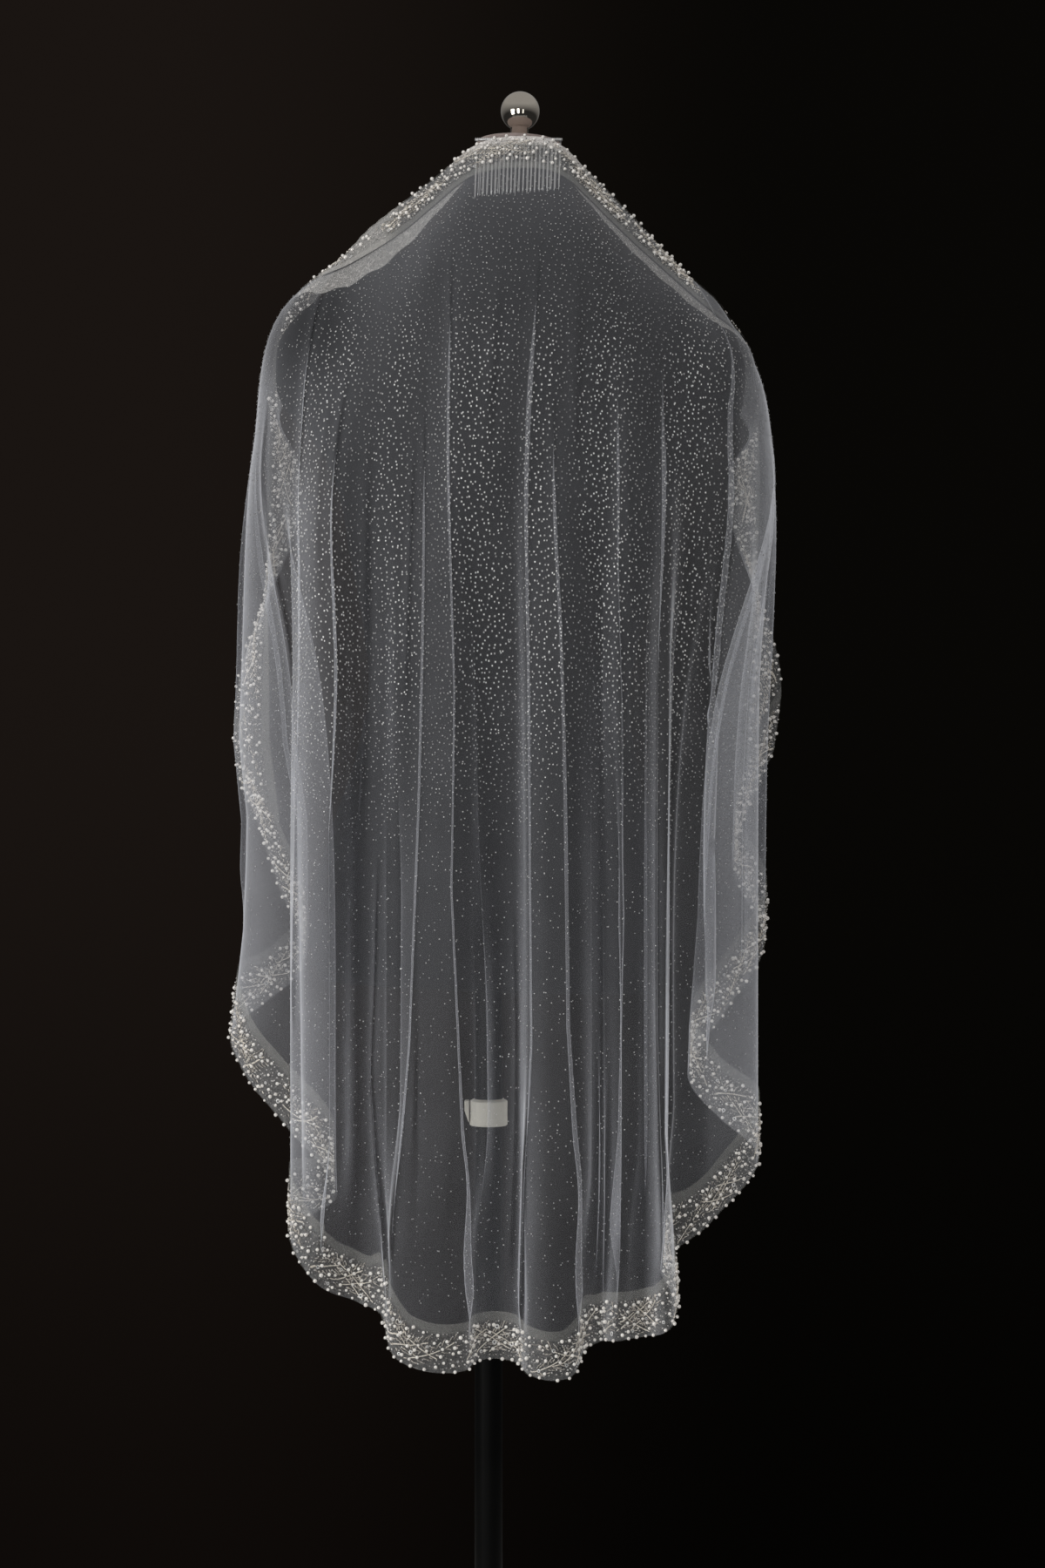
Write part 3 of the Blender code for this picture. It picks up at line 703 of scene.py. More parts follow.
class Paint(Board):
    """The board of a new material, and the shader that it feeds."""

    def __init__(self, name: str) -> None:
        """Starts a material with its Principled shader.

        Args:
            name: the material's name.
        """
        self.material = bpy.data.materials.new(name)
        self.material.use_nodes = True
        super().__init__(self.material.node_tree)
        self.shader = self.tree.nodes["Principled BSDF"]

    def set(self, **values: object) -> None:
        """Feeds the shader's sockets, named with _ for a space."""
        for name, value in values.items():
            self.feed(self.shader.inputs[name.replace("_", " ")], value)

    def at_object(self) -> bpy.types.NodeSocket:
        """Object coordinates."""
        return self.node("TexCoord").outputs["Object"]

    def at_map(self) -> bpy.types.NodeSocket:
        """The piece's own UV map, in metres."""
        return self.node("TexCoord").outputs["UV"]

    def value_of(self, name: str) -> "Signal":
        """A number that the mesh keeps for each point."""
        return self.signal("Attribute", "Fac", attribute_name=name)

    def cells(self, at: bpy.types.NodeSocket, scale: float) -> "Signal":
        """Distance to the nearest edge between two of many scattered points."""
        inputs = {"Vector": at, "Scale": scale}
        return self.signal("TexVoronoi", "Distance", inputs, feature="DISTANCE_TO_EDGE")

    def wave(self, at: bpy.types.NodeSocket, direction: Sequence[float]) -> "Signal":
        """Cosine of the dot product of the place and a direction, in radians per metre."""
        inputs = {0: at, 1: direction}
        return self.signal("VectorMath", "Value", inputs, operation="DOT_PRODUCT").math("COSINE")

    def turned_away(self) -> "Signal":
        """Nought where the surface faces the eye and one where it is seen edge on."""
        return self.signal("LayerWeight", "Facing", {"Blend": 0.5})

    def bump(self, height: "Signal", depth: float) -> None:
        """Feeds the shader's normal from a height that is worth depth metres."""
        self.set(Normal=self.node("Bump", {"Height": height, "Distance": depth}).outputs["Normal"])


class Signal:
    """A number socket that takes part in arithmetic by adding Math nodes."""

    def __init__(self, board: Board, socket: bpy.types.NodeSocket) -> None:
        """Wraps a socket of the board."""
        self.board, self.socket = board, socket

    def math(self, operation: str, *values: object, first: object = None) -> "Signal":
        """Adds one Math node with this signal, or with first, before the other values."""
        order = (self, *values) if first is None else (first, self, *values)
        return self.board.signal("Math", 0, dict(enumerate(order)), operation=operation)

    def __add__(self, other: object) -> "Signal":
        """The sum."""
        return self.math("ADD", other)

    def __mul__(self, other: object) -> "Signal":
        """The product."""
        return self.math("MULTIPLY", other)

    def __sub__(self, other: object) -> "Signal":
        """The difference."""
        return self.math("SUBTRACT", other)

    def __rsub__(self, other: float) -> "Signal":
        """A number less this signal."""
        return self.math("SUBTRACT", first=other)

    def __truediv__(self, other: object) -> "Signal":
        """The quotient."""
        return self.math("DIVIDE", other)

    def least(self, other: object) -> "Signal":
        """The smaller of the two."""
        return self.math("MINIMUM", other)

    def step(self, low: float, high: float, least: float = 0.0) -> "Signal":
        """The least value at low and 1 at high, eased between."""
        inputs = {"Value": self, "From Min": low, "From Max": high, "To Min": least}
        return self.board.signal("MapRange", "Result", inputs, interpolation_type="SMOOTHSTEP")


@dataclass(frozen=True)
class Finish(ABC):
    """A look from which materials are made."""

    name: str

    @abstractmethod
    def paint(self, board: Paint) -> None:
        """Feeds the shader of a new material."""

    def material(self) -> bpy.types.Material:
        """A new material with this look."""
        board = Paint(self.name)
        self.paint(board)
        return board.material


@dataclass(frozen=True)
class TulleFinish(Finish):
    """Soft bridal tulle: a fine hexagonal net that looks denser where it is seen edge on.

    Attributes:
        cell: width of a cell of the net.
        open_cover: cover in the middle of a cell.
        thread_cover: cover on a thread.
        edge_on: least share of the face that is counted where the cloth is seen edge on.
        slant: power of that share.
        most: greatest cover.
    """

    name: str = "soft_tulle"
    colour: Colour = (0.765, 0.79, 0.86)
    cell: float = 1.0 * MM
    open_cover: float = 0.072
    thread_cover: float = 0.085
    edge_on: float = 0.09
    slant: float = 1.45
    most: float = 0.66

    def paint(self, board: Paint) -> None:
        """Three cosine waves at 60 degrees make the net, and its cover grows with the slant.

        Args:
            board: board of the new material.
        """
        at = board.at_map()
        pitch = 2 * math.pi / self.cell
        first, second, third = (
            board.wave(at, (pitch * math.cos(turn), pitch * math.sin(turn), 0.0))
            for turn in (0.0, math.pi / 3, 2 * math.pi / 3)
        )
        thread = 1 - (first + second + third).step(-1.3, 0.4)
        cloud = board.noise(at, 18.0, 3.0) * 0.4 + 0.8
        cover = thread * (self.thread_cover - self.open_cover) + self.open_cover
        cover = cover * cloud * (board.value_of("gathered") + 1)
        facing = (1 - board.turned_away()).math("POWER", self.slant)
        board.set(
            Base_Color=board.mix(thread, tuple(c * 0.92 for c in self.colour), self.colour),
            Roughness=0.62,
            Alpha=(cover / (facing * (1 - self.edge_on) + self.edge_on)).least(self.most),
            Sheen_Weight=0.08,
            Sheen_Roughness=0.5,
        )


@dataclass(frozen=True)
class LaceFinish(Finish):
    """The band's net ground, with stitched sprays and a plain margin along its inner edge.

    Attributes:
        colour: colour of the net.
        thread: colour of the stitching.
        doubled: colour where the lace lies double.
        margin: width of the plain margin.
        net: cover of the bare net.
        stitched: what the stitching adds to it.
        sprigged: what the stitched sprays add.
        plain: cover of the margin.
        uneven: what the grain adds at most.
    """

    name: str = "lace_ground"
    colour: Colour = (0.62, 0.64, 0.60)
    thread: Colour = (0.80, 0.78, 0.75)
    doubled: Colour = (0.86, 0.83, 0.81)
    margin: float = BORDER_MARGIN
    net: float = 0.025
    stitched: float = 0.09
    sprigged: float = 0.05
    plain: float = 0.15
    uneven: float = 0.06

    def paint(self, board: Paint) -> None:
        """Cell edges are the stitching, and the map's v is the depth of the band.

        Where the lace lies double, the mesh's own value thickens it.

        Args:
            board: board of the new material.
        """
        at = board.at_map()
        wander = board.noise(at, 60.0, 2.0) * (3 * MM) - 1.5 * MM
        depth = board.signal("SeparateXYZ", "Y", {0: at}) + wander
        stitches = 1 - board.cells(at, 260.0).step(0.02, 0.12)
        sprays = board.noise(at, 120.0, 3.0).step(0.5, 0.66)
        inner = BORDER_WIDTH - self.margin
        margin = depth.step(inner - 1.5 * MM, inner + 0.5 * MM)
        twice = board.value_of("doubled")
        cover = stitches * self.stitched + sprays * self.sprigged + self.net
        cover = cover * (1 - margin) + margin * self.plain
        grain = board.noise(at, 900.0, 2.0)
        board.set(
            Base_Color=board.mix(twice, board.mix(stitches, self.colour, self.thread), self.doubled),
            Roughness=0.7 - stitches * 0.15,
            Alpha=(cover + grain * self.uneven + twice * (stitches * 0.25 + 0.5)).least(0.95),
            Sheen_Weight=0.1,
        )
        board.bump(stitches + grain * 0.3, 0.4 * MM)


@dataclass(frozen=True)
class BeadFinish(Finish):
    """Pearl, glass or foil: a colour that varies from bead to bead, under a clear coat; on the foiled stones
    that colour is a painted glint.

    Attributes:
        dull: colour of the dullest beads.
        bright: colour of the brightest.
        roughness: middle of its range of roughness.
        metallic: how metallic it is.
        coat: weight of the clear coat.
    """

    dull: Colour
    bright: Colour
    roughness: float
    metallic: float = 0.0
    coat: float = 1.0

    def paint(self, board: Paint) -> None:
        """The tone that the mesh keeps for each bead picks the colour, with a faint cloud over its surface;
        on the stones that tone is a painted glint.

        Args:
            board: board of the new material.
        """
        tone = board.value_of("tone")
        cloud = board.noise(board.at_object(), 500.0, 2.0)
        board.set(
            Base_Color=board.mix((tone * 0.8 + cloud * 0.2).least(1.0), self.dull, self.bright),
            Roughness=cloud * (self.roughness * 0.6) + self.roughness * 0.7,
            Metallic=self.metallic,
            Coat_Weight=self.coat,
            Coat_Roughness=0.08,
        )


@dataclass(frozen=True)
class HardFinish(Finish):
    """Paint, plastic, fabric cover or metal, with faint unevenness and rubbed places.

    Attributes:
        colour: its main colour.
        worn: colour where it is rubbed.
        roughness: middle of its range of roughness.
        metallic: how metallic it is.
        grain: features of the fine grain in a metre.
        depth: depth of the grain.
        glint: strength of its plain reflection.
    """

    colour: Colour
    worn: Colour
    roughness: float
    metallic: float = 0.0
    grain: float = 400.0
    depth: float = 0.05 * MM
    glint: float = 0.5

    def paint(self, board: Paint) -> None:
        """Two noises: a broad one for rubbed places and a fine one for the grain.

        Args:
            board: board of the new material.
        """
        at = board.at_object()
        broad = board.noise(at, self.grain / 25, 4.0)
        fine = board.noise(at, self.grain, 3.0)
        board.set(
            Base_Color=board.mix((broad * 0.6 + fine * 0.4).step(0.35, 0.75), self.colour, self.worn),
            Roughness=broad * (self.roughness * 0.5) + self.roughness * 0.75,
            Metallic=self.metallic,
            Specular_IOR_Level=self.glint,
        )
        board.bump(fine, self.depth)


@dataclass(frozen=True)
class JerseyFinish(Finish):
    """Black knitted jersey stretched over the form.

    Attributes:
        colour: colour between the ribs.
        raised: colour on them.
        wales: distance from one rib to the next.
    """

    name: str = "black_jersey"
    colour: Colour = (0.0028, 0.0028, 0.0034)
    raised: Colour = (0.006, 0.006, 0.007)
    wales: float = 1.1 * MM

    def paint(self, board: Paint) -> None:
        """Fine ribs down the form, crossed by courses, with a soft nap.

        Args:
            board: board of the new material.
        """
        at = board.at_map()
        pitch = 2 * math.pi / self.wales
        knit = board.wave(at, (pitch, 0.0, 0.0)) * board.wave(at, (0.0, pitch * 1.3, 0.0))
        nap = board.noise(board.at_object(), 60.0, 4.0)
        board.set(
            Base_Color=board.mix((knit * 0.25 + nap * 0.5 + 0.25).least(1.0), self.colour, self.raised),
            Roughness=nap * 0.15 + 0.78,
            Specular_IOR_Level=0.12,
        )
        board.bump(knit + nap, 0.12 * MM)


PEARL = BeadFinish("ivory_pearl", (0.80, 0.77, 0.74), (1.0, 0.98, 0.95), 0.24, coat=0.8)
SEED = BeadFinish("silver_seed", (0.12, 0.115, 0.11), (1.0, 0.98, 0.96), 0.24, 0.1)
BUGLE = BeadFinish("glass_bugle", (0.18, 0.165, 0.145), (0.96, 0.90, 0.82), 0.22, 0.15)
STEM = BeadFinish("gilded_bugle", (0.62, 0.57, 0.50), (1.0, 0.95, 0.87), 0.22, 0.1)
SEQUIN = BeadFinish("pale_sequin", (0.56, 0.57, 0.58), (1.0, 1.0, 1.0), 0.16, 0.35)
# The stones' colour runs from near black to white with their tone, which is painted glint.
STONE = BeadFinish("foiled_rhinestone", (0.08, 0.083, 0.09), (1.0, 1.0, 1.0), 0.3, 0.1)
COMB_WIRE = HardFinish(
    "comb_wire", (0.86, 0.86, 0.87), (0.78, 0.78, 0.78), 0.30, metallic=0.75, grain=900.0, depth=0.01 * MM
)
POLISHED = HardFinish(
    "polished_metal", (0.90, 0.85, 0.76), (0.84, 0.79, 0.71), 0.09, metallic=1.0, grain=60.0, depth=0.004 * MM
)
TAUPE = HardFinish(
    "taupe_cap", (0.24, 0.19, 0.18), (0.30, 0.25, 0.235), 0.55, grain=500.0, depth=0.12 * MM, glint=0.3
)
POLE_PAINT = HardFinish(
    "black_pole_paint", (0.0015, 0.0016, 0.0016), (0.0025, 0.0026, 0.0026), 0.42, glint=0.07
)
BASE_PAINT = HardFinish(
    "black_base_paint", (0.008, 0.008, 0.009), (0.02, 0.0195, 0.019), 0.5, grain=1200.0, depth=0.12 * MM,
    glint=0.35,
)
PLASTIC = HardFinish(
    "white_plastic", (0.54, 0.53, 0.48), (0.47, 0.46, 0.42), 0.46, grain=250.0, depth=0.04 * MM, glint=0.35
)


# ---------------------------------------------------------------------------------------------
# The veil
# ---------------------------------------------------------------------------------------------
@dataclass
class VeilSurface:
    """The sheet's shape as a fine grid over folds and down its length.

    Attributes:
        columns_per_fold: grid columns from one fold to the next.
        rows: grid rows from the top edge to the hem.
        beyond: how far a pleat runs on past its course, below and above it.
        grid: points as (column, row, xyz).
        normals: unit normals at them, pointing away from the body.
        lengths: length of each column.
        hem_depths: depth of the hem's band along each column.
    """

    columns_per_fold: int = 28
    rows: int = 88
    beyond: tuple[float, float] = (0.02, 0.03)
    grid: np.ndarray = field(init=False)
    normals: np.ndarray = field(init=False)
    lengths: np.ndarray = field(init=False)
    hem_depths: np.ndarray = field(init=False)

    def __post_init__(self) -> None:
        """Works out the grid, its normals, each column's length and the hem band's depth."""
        coarse = self.columns(2)
        run = unit(np.gradient(coarse[:, -1], axis=0))
        fall = unit(coarse[:, -1] - coarse[:, -2])
        slant = np.linalg.norm(np.cross(run, fall), axis=1)
        depth = BORDER_WIDTH / np.clip(slant, STEEPEST_SLANT, 1.0)
        self.hem_depths = np.interp(self.folds(), np.arange(len(coarse)) / 2, depth)

        lines = self.columns(self.columns_per_fold)
        path = clear_of_form(smooth_down(lengths_along(lines), lines, np.linspace(0, 1, 97)))
        length = lengths_along(path)
        line, span, share = spans(length, np.linspace(0, 1, self.rows)[None] * length[:, -1:])
        grid = path[line, span] * (1 - share) + path[line, span + 1] * share
        self.grid = clear_of_form(self.creased(grid))
        self.normals = self.normals_of(self.grid)
        self.lengths = lengths_along(self.grid)[:, -1]

    def folds(self) -> np.ndarray:
        """The fold position of every grid column."""
        return np.arange(LAST_FOLD * self.columns_per_fold + 1) / self.columns_per_fold

    @staticmethod
    def columns(per_fold: int) -> np.ndarray:
        """The fold lines and those between them.

        A fold line passes five rings: top edge, yoke, chest, waist and hem. Between folds the
        rings are cubics over the hem's steps raised to 0.6.

        Args:
            per_fold: columns from one fold to the next.

        Returns:
            Points as (column, ring, xyz).
        """
        folds = table(FOLDS)
        upper = (table(TOP_EDGE), table(YOKE))
        levels = [smooth(edge[:, 0], edge[:, 1:], folds[:, 0]) for edge in upper]
        chest, hem, early = folds[:, 1:3], folds[:, 3:5], folds[:, 6:7] / MM
        waist = chest + (hem - chest) * early
        for plan, height in ((chest, CHEST_HEIGHT), (waist, WAIST_HEIGHT), (hem, folds[:, 5])):
            levels.append(np.column_stack([plan, np.broadcast_to(height, len(plan))]))
        lines = np.stack(levels, axis=1)
        steps = np.linalg.norm(np.diff(lines[:, -1], axis=0), axis=1) ** 0.6
        knots = np.concatenate([[0.0], np.cumsum(steps)])
        share = np.arange((len(knots) - 1) * per_fold + 1) / per_fold
        return smooth(knots, lines, np.interp(share, np.arange(len(knots)), knots))

    @staticmethod
    def normals_of(grid: np.ndarray) -> np.ndarray:
        """Unit normals of a grid, pointing away from the body."""
        return unit(np.cross(np.gradient(grid, axis=1), np.gradient(grid, axis=0)))

    def creased(self, grid: np.ndarray) -> np.ndarray:
        """The grid with its pleats.

        With d the distance across the sheet from a narrow pleat's course, w its half width, p
        how far it is folded over and g = exp(-(d/w)^2 / 2), a point moves across by -p d g and
        out by w (0.4 g - 0.75 (d/w) g). A narrow pleat turns broader below. A broad pleat is a
        straight ramp outwards across its width, then an eased way back. Both ease in from their
        upper end and out at their lower one.

        Args:
            grid: points as (column, row, xyz).

        Returns:
            The moved points.
        """
        across = unit(np.gradient(grid, axis=0))
        run = lengths_along(np.swapaxes(grid, 0, 1)).T
        fold, height = self.folds()[:, None], grid[..., 2]
        rise, drawn = np.zeros(height.shape), np.zeros(height.shape)
        broad = 1 + 0.7 * fade(height, 0.8, 0.55)
        for full, half, course in CREASES:
            away, ends = self.course(run, height, course, 0.05, 0.14)
            width = half * MM * broad
            bell = np.exp(-0.5 * (away / width) ** 2) * ends
            rise += (0.4 - 0.75 * away / width) * width * bell * min(full, 1.5)
            drawn -= full * away * bell
        for lift, width, back, course in BANDS:
            away, ends = self.course(run, height, course, 0.10, 0.20)
            away = away / MM
            ramp = np.clip(away / width + 0.5, 0, 1) - ease((away - width / 2) / back)
            rise += lift * MM * ramp * ends
        grid = grid + self.normals_of(grid) * rise[..., None] + across * drawn[..., None]
        for right, forth, reach, course in SWAY:
            heights, shares = np.array(course).T
            share = swell(fold, reach) * np.interp(height, heights * MM, shares)
            grid = grid + share[..., None] * (np.array([right, forth, 0]) * MM)
        return grid

    def course(
        self,
        run: np.ndarray,
        height: np.ndarray,
        course: Sequence[tuple[float, float]],
        foot: float,
        head: float,
    ) -> Pair:
        """Where the grid's points lie to the course of a pleat.

        Args:
            run: running length along every row, as (column, row).
            height: height of every point.
            course: pairs of a height in mm and a fold, from the top down.
            foot: height over which the pleat fades at its lower end.
            head: the same at its upper end.

        Returns:
            Signed distance across the sheet from the course, and how far the pleat has formed.
        """
        heights, folds = np.array(course[::-1]).T
        heights = heights * MM
        spot = np.interp(height, heights, folds) * self.columns_per_fold
        column = np.clip(spot.astype(int), 0, len(run) - 2)
        start, end = np.take_along_axis(run, column, 0), np.take_along_axis(run, column + 1, 0)
        away = run - start - (end - start) * (spot - column)
        formed = ease((height - heights[0] + self.beyond[0]) / foot)
        return away, formed * ease((heights[-1] - height + self.beyond[1]) / head)

    def gathered(self) -> np.ndarray:
        """How much more tulle than one plain layer lies at each point of the grid."""
        fold, height = self.folds()[:, None], self.grid[..., 2] / MM
        return sum(more * swell(fold, reach) * swell(height, heights) for more, reach, heights in GATHERS)

    def read(self, values: np.ndarray, fold: np.ndarray, down: np.ndarray) -> np.ndarray:
        """Values of the grid between its points.

        Args:
            values: vectors as (column, row, xyz).
            fold: fold positions to read.
            down: shares of the length, one for each fold position.

        Returns:
            The vectors at those places.
        """
        column = np.clip(fold * self.columns_per_fold, 0, len(values) - 1.001)
        row = np.clip(down * (self.rows - 1), 0, self.rows - 1.001)
        i, j = column.astype(int), row.astype(int)
        a, b = (column - i)[..., None], (row - j)[..., None]
        near = values[i, j] * (1 - b) + values[i, j + 1] * b
        far = values[i + 1, j] * (1 - b) + values[i + 1, j + 1] * b
        return near * (1 - a) + far * a

    def point(self, fold: np.ndarray, down: np.ndarray) -> np.ndarray:
        """Points of the sheet."""
        return self.read(self.grid, fold, down)

    def normal(self, fold: np.ndarray, down: np.ndarray) -> np.ndarray:
        """Unit normals of the sheet."""
        return unit(self.read(self.normals, fold, down))

    def length_at(self, fold: np.ndarray) -> np.ndarray:
        """Length of the sheet from the top edge to the hem at the fold positions."""
        return np.interp(fold, self.folds(), self.lengths)

    def hem_at(self, fold: np.ndarray) -> np.ndarray:
        """Depth of the hem's band along the sheet at the fold positions."""
        return np.interp(fold, self.folds(), self.hem_depths)


class Run(Enum):
    """Which edge of the veil a strip of the band follows."""

    TOP = "top"
    HEM = "hem"
    LEFT_FRONT = "left_front"
    RIGHT_FRONT = "right_front"


@dataclass
class Strip:
    """One strip of the lace band, with s along it and w across it from the free edge.

    Attributes:
        veil: the sheet that carries it.
        run: the edge that it follows.
        marks: shares of the run at which it is measured.
        measured: its running length at the marks.
        length: its length in metres of lace.
    """

    veil: VeilSurface
    run: Run
    marks: np.ndarray = field(init=False)
    measured: np.ndarray = field(init=False)
    length: float = field(init=False)

    def __post_init__(self) -> None:
        """Measures the strip along its middle."""
        self.marks = np.linspace(0, 1, 1200)
        middle = np.full(len(self.marks), BORDER_WIDTH / 2)
        self.measured = lengths_along(self.veil.point(*self.at_share(self.marks, middle)))
        self.length = float(self.measured[-1])

    def at_share(self, share: np.ndarray, w: np.ndarray) -> tuple[np.ndarray, np.ndarray]:
        """Where places of the strip lie on the sheet.

        Args:
            share: shares of the run.
            w: distances from the free edge.

        Returns:
            Fold positions and shares down the sheet.
        """
        veil = self.veil
        if self.run is Run.TOP:
            fold = share * LAST_FOLD
            return fold, w / veil.length_at(fold)
        if self.run is Run.HEM:
            fold = share * LAST_FOLD
            return fold, 1 - w / BORDER_WIDTH * veil.hem_at(fold) / veil.length_at(fold)
        across = w / BORDER_WIDTH * FRONT_BORDER_FOLDS
        fold = across if self.run is Run.LEFT_FRONT else LAST_FOLD - across
        top = BORDER_WIDTH / veil.length_at(fold)
        foot = 1 - veil.hem_at(fold) / veil.length_at(fold)
        return fold, top + (foot - top) * share

    def at(self, s: np.ndarray, w: np.ndarray) -> tuple[np.ndarray, np.ndarray]:
        """Fold position and share down the sheet, from s and w in metres."""
        return self.at_share(np.interp(s, self.measured, self.marks), w)

    def point(self, s: np.ndarray, w: np.ndarray, off: np.ndarray | float) -> np.ndarray:
        """Points at a distance off the sheet's middle, on its outer side."""
        spot = self.at(s, w)
        return self.veil.point(*spot) + self.veil.normal(*spot) * np.asarray(off)[..., None]

    def axes(self, s: np.ndarray, w: np.ndarray, turn: np.ndarray) -> np.ndarray:
        """Three axes at each place: along the lace, across it and out.

        Args:
            s: distances along the strip.
            w: distances from the free edge.
            turn: angles by which the first two axes are turned about the third.

        Returns:
            Unit vectors as (place, axis, xyz).
        """
        reach = 1.5 * MM
        low, high = np.clip(s - reach, 0, self.length), np.clip(s + reach, 0, self.length)
        out = self.veil.normal(*self.at(s, w))
        along = square_to(self.veil.point(*self.at(high, w)) - self.veil.point(*self.at(low, w)), out)
        first = along * np.cos(turn)[:, None] + np.cross(out, along) * np.sin(turn)[:, None]
        return np.stack([first, np.cross(out, first), out], axis=1)


@dataclass
class TullePanel:
    """The sheet of tulle itself."""

    veil: VeilSurface
    finish: TulleFinish = TulleFinish()

    def build(self) -> bpy.types.Object:
        """The sheet as one layer of net, with its map in metres along its rows and columns."""
        grid = self.veil.grid
        mesh = make_mesh("tulle_sheet", (grid.reshape(-1, 3), [grid_faces(*grid.shape[:2])[:, ::-1]]))
        across = lengths_along(np.swapaxes(grid, 0, 1)).T
        add_map(mesh, across - across[len(grid) // 2], lengths_along(grid))
        add_values(mesh, "gathered", self.veil.gathered())
        return place(mesh, self.finish, "tulle", "veil_tulle")


@dataclass
class Rhinestones:
    """Foiled stones heat-set all over the tulle, closest over the upper back.

    Attributes:
        veil: the sheet that carries them.
        step: distance from a stone to its neighbours where they are close.
        thinned: share of them that stays below the waist.
        waist: heights between which the one gives way to the other.
        beside: share of them that stays at the sides and on the front.
        back: folds where the back begins, left and right, each as its outer and inner end.
        stray: how far a stone strays from its place in the rows, as a share of the step.
        clear: least distance from the lace.
        chest: heights between which the stones begin to be large.
        crown: heights between which they are small again.
        split: height that parts the upper pieces from the lower one.
        radius: radius of a small stone and what a large one gains, in mm.
        radii: least and greatest radius in mm.
        uneven: spread of the radius in mm.
        painted_glint_range: painted glint of the dullest stone, and what the brightest adds.
        tones: painted tone of a small stone, and the painted brightening that large and low ones gain.
        seed: start of the random draws.
    """

    veil: VeilSurface
    step: float = 4.9 * MM
    thinned: float = 0.27
    waist: tuple[float, float] = (0.92, 1.04)
    beside: float = 0.4
    back: tuple[tuple[float, float], tuple[float, float]] = ((7.5, 9.0), (30.5, 29.0))
    stray: float = 0.42
    clear: float = 5 * MM
    chest: tuple[float, float] = (0.95, 1.13)
    crown: tuple[float, float] = (1.36, 1.44)
    split: float = 1.16
    radius: tuple[float, float] = (0.53, 0.24)
    radii: tuple[float, float] = (0.38, 0.95)
    uneven: float = 0.06
    painted_glint_range: tuple[float, float] = (0.4, 1.1)
    tones: tuple[float, float, float] = (0.60, 0.42, 0.22)
    seed: int = 11

    def places(self) -> tuple[np.ndarray, np.ndarray]:
        """Places of the stones.

        Stones lie in staggered rows across the sheet, each moved both ways by a share of the
        step. A column of cloth that is shorter than the longest loses rows in proportion.

        Returns:
            Fold position and share down the sheet of every stone.
        """
        chance = np.random.default_rng(self.seed)
        veil = self.veil
        longest = float(veil.lengths.max())
        rows = int(longest / self.step)
        widths = lengths_along(np.swapaxes(veil.grid, 0, 1))
        folds, downs = [], []
        for row in range(rows):
            down = (row + 0.5) / rows
            width = widths[round(down * (veil.rows - 1))]
            count = int(width[-1] / self.step)
            stray = chance.uniform(-self.stray, self.stray, count)
            across = (np.arange(count) + 0.5 * (row % 2) + stray) * self.step
            folds.append(np.interp(across, width, veil.folds()))
            downs.append(down + chance.uniform(-self.stray, self.stray, count) / rows)
        fold, down = np.concatenate(folds), np.clip(np.concatenate(downs), 0, 1)
        length, height = veil.length_at(fold), veil.point(fold, down)[:, 2]
        share = (self.thinned + (1 - self.thinned) * fade(height, *self.waist)) * length / longest
        middle = fade(fold, *self.back[0]) * fade(fold, *self.back[1])
        share = share * (self.beside + (1 - self.beside) * middle)
        inner = FRONT_BORDER_FOLDS + 0.15
        keep = (
            (fold > inner) & (fold < LAST_FOLD - inner)
            & (down > (BORDER_WIDTH + self.clear) / length)
            & (down < 1 - (veil.hem_at(fold) + 2 * self.clear) / length)
            & (chance.random(len(fold)) < share)
        )
        return fold[keep], down[keep]

    def build(self) -> list[bpy.types.Object]:
        """The stones as pieces for the left and right of the upper back, and below the waist."""
        chance = np.random.default_rng(self.seed + 1)
        fold, down = self.places()
        points, out = self.veil.point(fold, down), self.veil.normal(fold, down)
        fall = square_to(self.veil.point(fold, np.clip(down + 0.004, 0, 1)) - points, out)
        lean = chance.normal(0, 0.12, (len(fold), 2))
        out = unit(out + np.cross(out, fall) * lean[:, :1] + fall * lean[:, 1:])
        side = unit(np.cross(fall, out))
        axes = np.stack([side, np.cross(out, side), out], axis=1)
        height = points[:, 2]
        large = fade(height, *self.chest) * (1 - fade(height, *self.crown))
        # Painted glint in streaks: where it is high the stones are larger and their colour lighter; it shows
        # most from 1.10 m to 1.42 m up.
        painted_glint = np.interp(fold + 0.25 * np.sin(height * 21.0), *np.array(PAINTED_GLINT_STREAKS).T)
        streaks = (0.45 + 0.55 * fade(height, 0.95, 1.10)) * (1 - fade(height, 1.42, 1.50))
        painted_glint = 0.8 + (painted_glint - 0.8) * streaks
        radius = self.radius[0] + self.radius[1] * large * painted_glint
        radius = np.clip(radius + chance.normal(0, self.uneven, len(fold)), *self.radii) * MM
        sizes = np.stack([radius, radius * (1 + 0.3 * large), radius], axis=1)
        # A random painted glint for each stone, which lightens its colour.
        painted_glint_draw = self.painted_glint_range[0] + self.painted_glint_range[1] * chance.random(len(fold))
        # The tone is painted light: large stones and those a little below the waist get a lighter colour,
        # times the painted glint.
        small, gain, low_gain = self.tones
        low_gain = low_gain * fade(height, 1.10, 0.95) * fade(height, 0.60, 0.85)
        tone = np.clip((small + gain * large + low_gain) * painted_glint * painted_glint_draw, 0.02, 1.0)
        seats = points + out * (TULLE / 2 + 0.05 * MM)
        gem = Shape.gem(5, 0.6, 0.45)
        lower, left = height < self.split, points[:, 0] < 0.02
        pieces = []
        groups = {"upper_left": ~lower & left, "upper_right": ~lower & ~left, "lower": lower}
        for name, some in groups.items():
            parts = gem.set_at(seats[some], axes[some], sizes[some])
            mesh = make_mesh(f"rhinestones_{name}", parts, soft=False)
            add_values(mesh, "tone", gem.spread(tone[some]))
            pieces.append(place(mesh, STONE, "tulle"))
        return pieces


class Bead(Enum):
    """A kind of bead on the lace."""

    PEARLS = "pearls"
    SEEDS = "seeds"
    BUGLES = "bugles"
    STEMS = "stems"
    SEQUINS = "sequins"


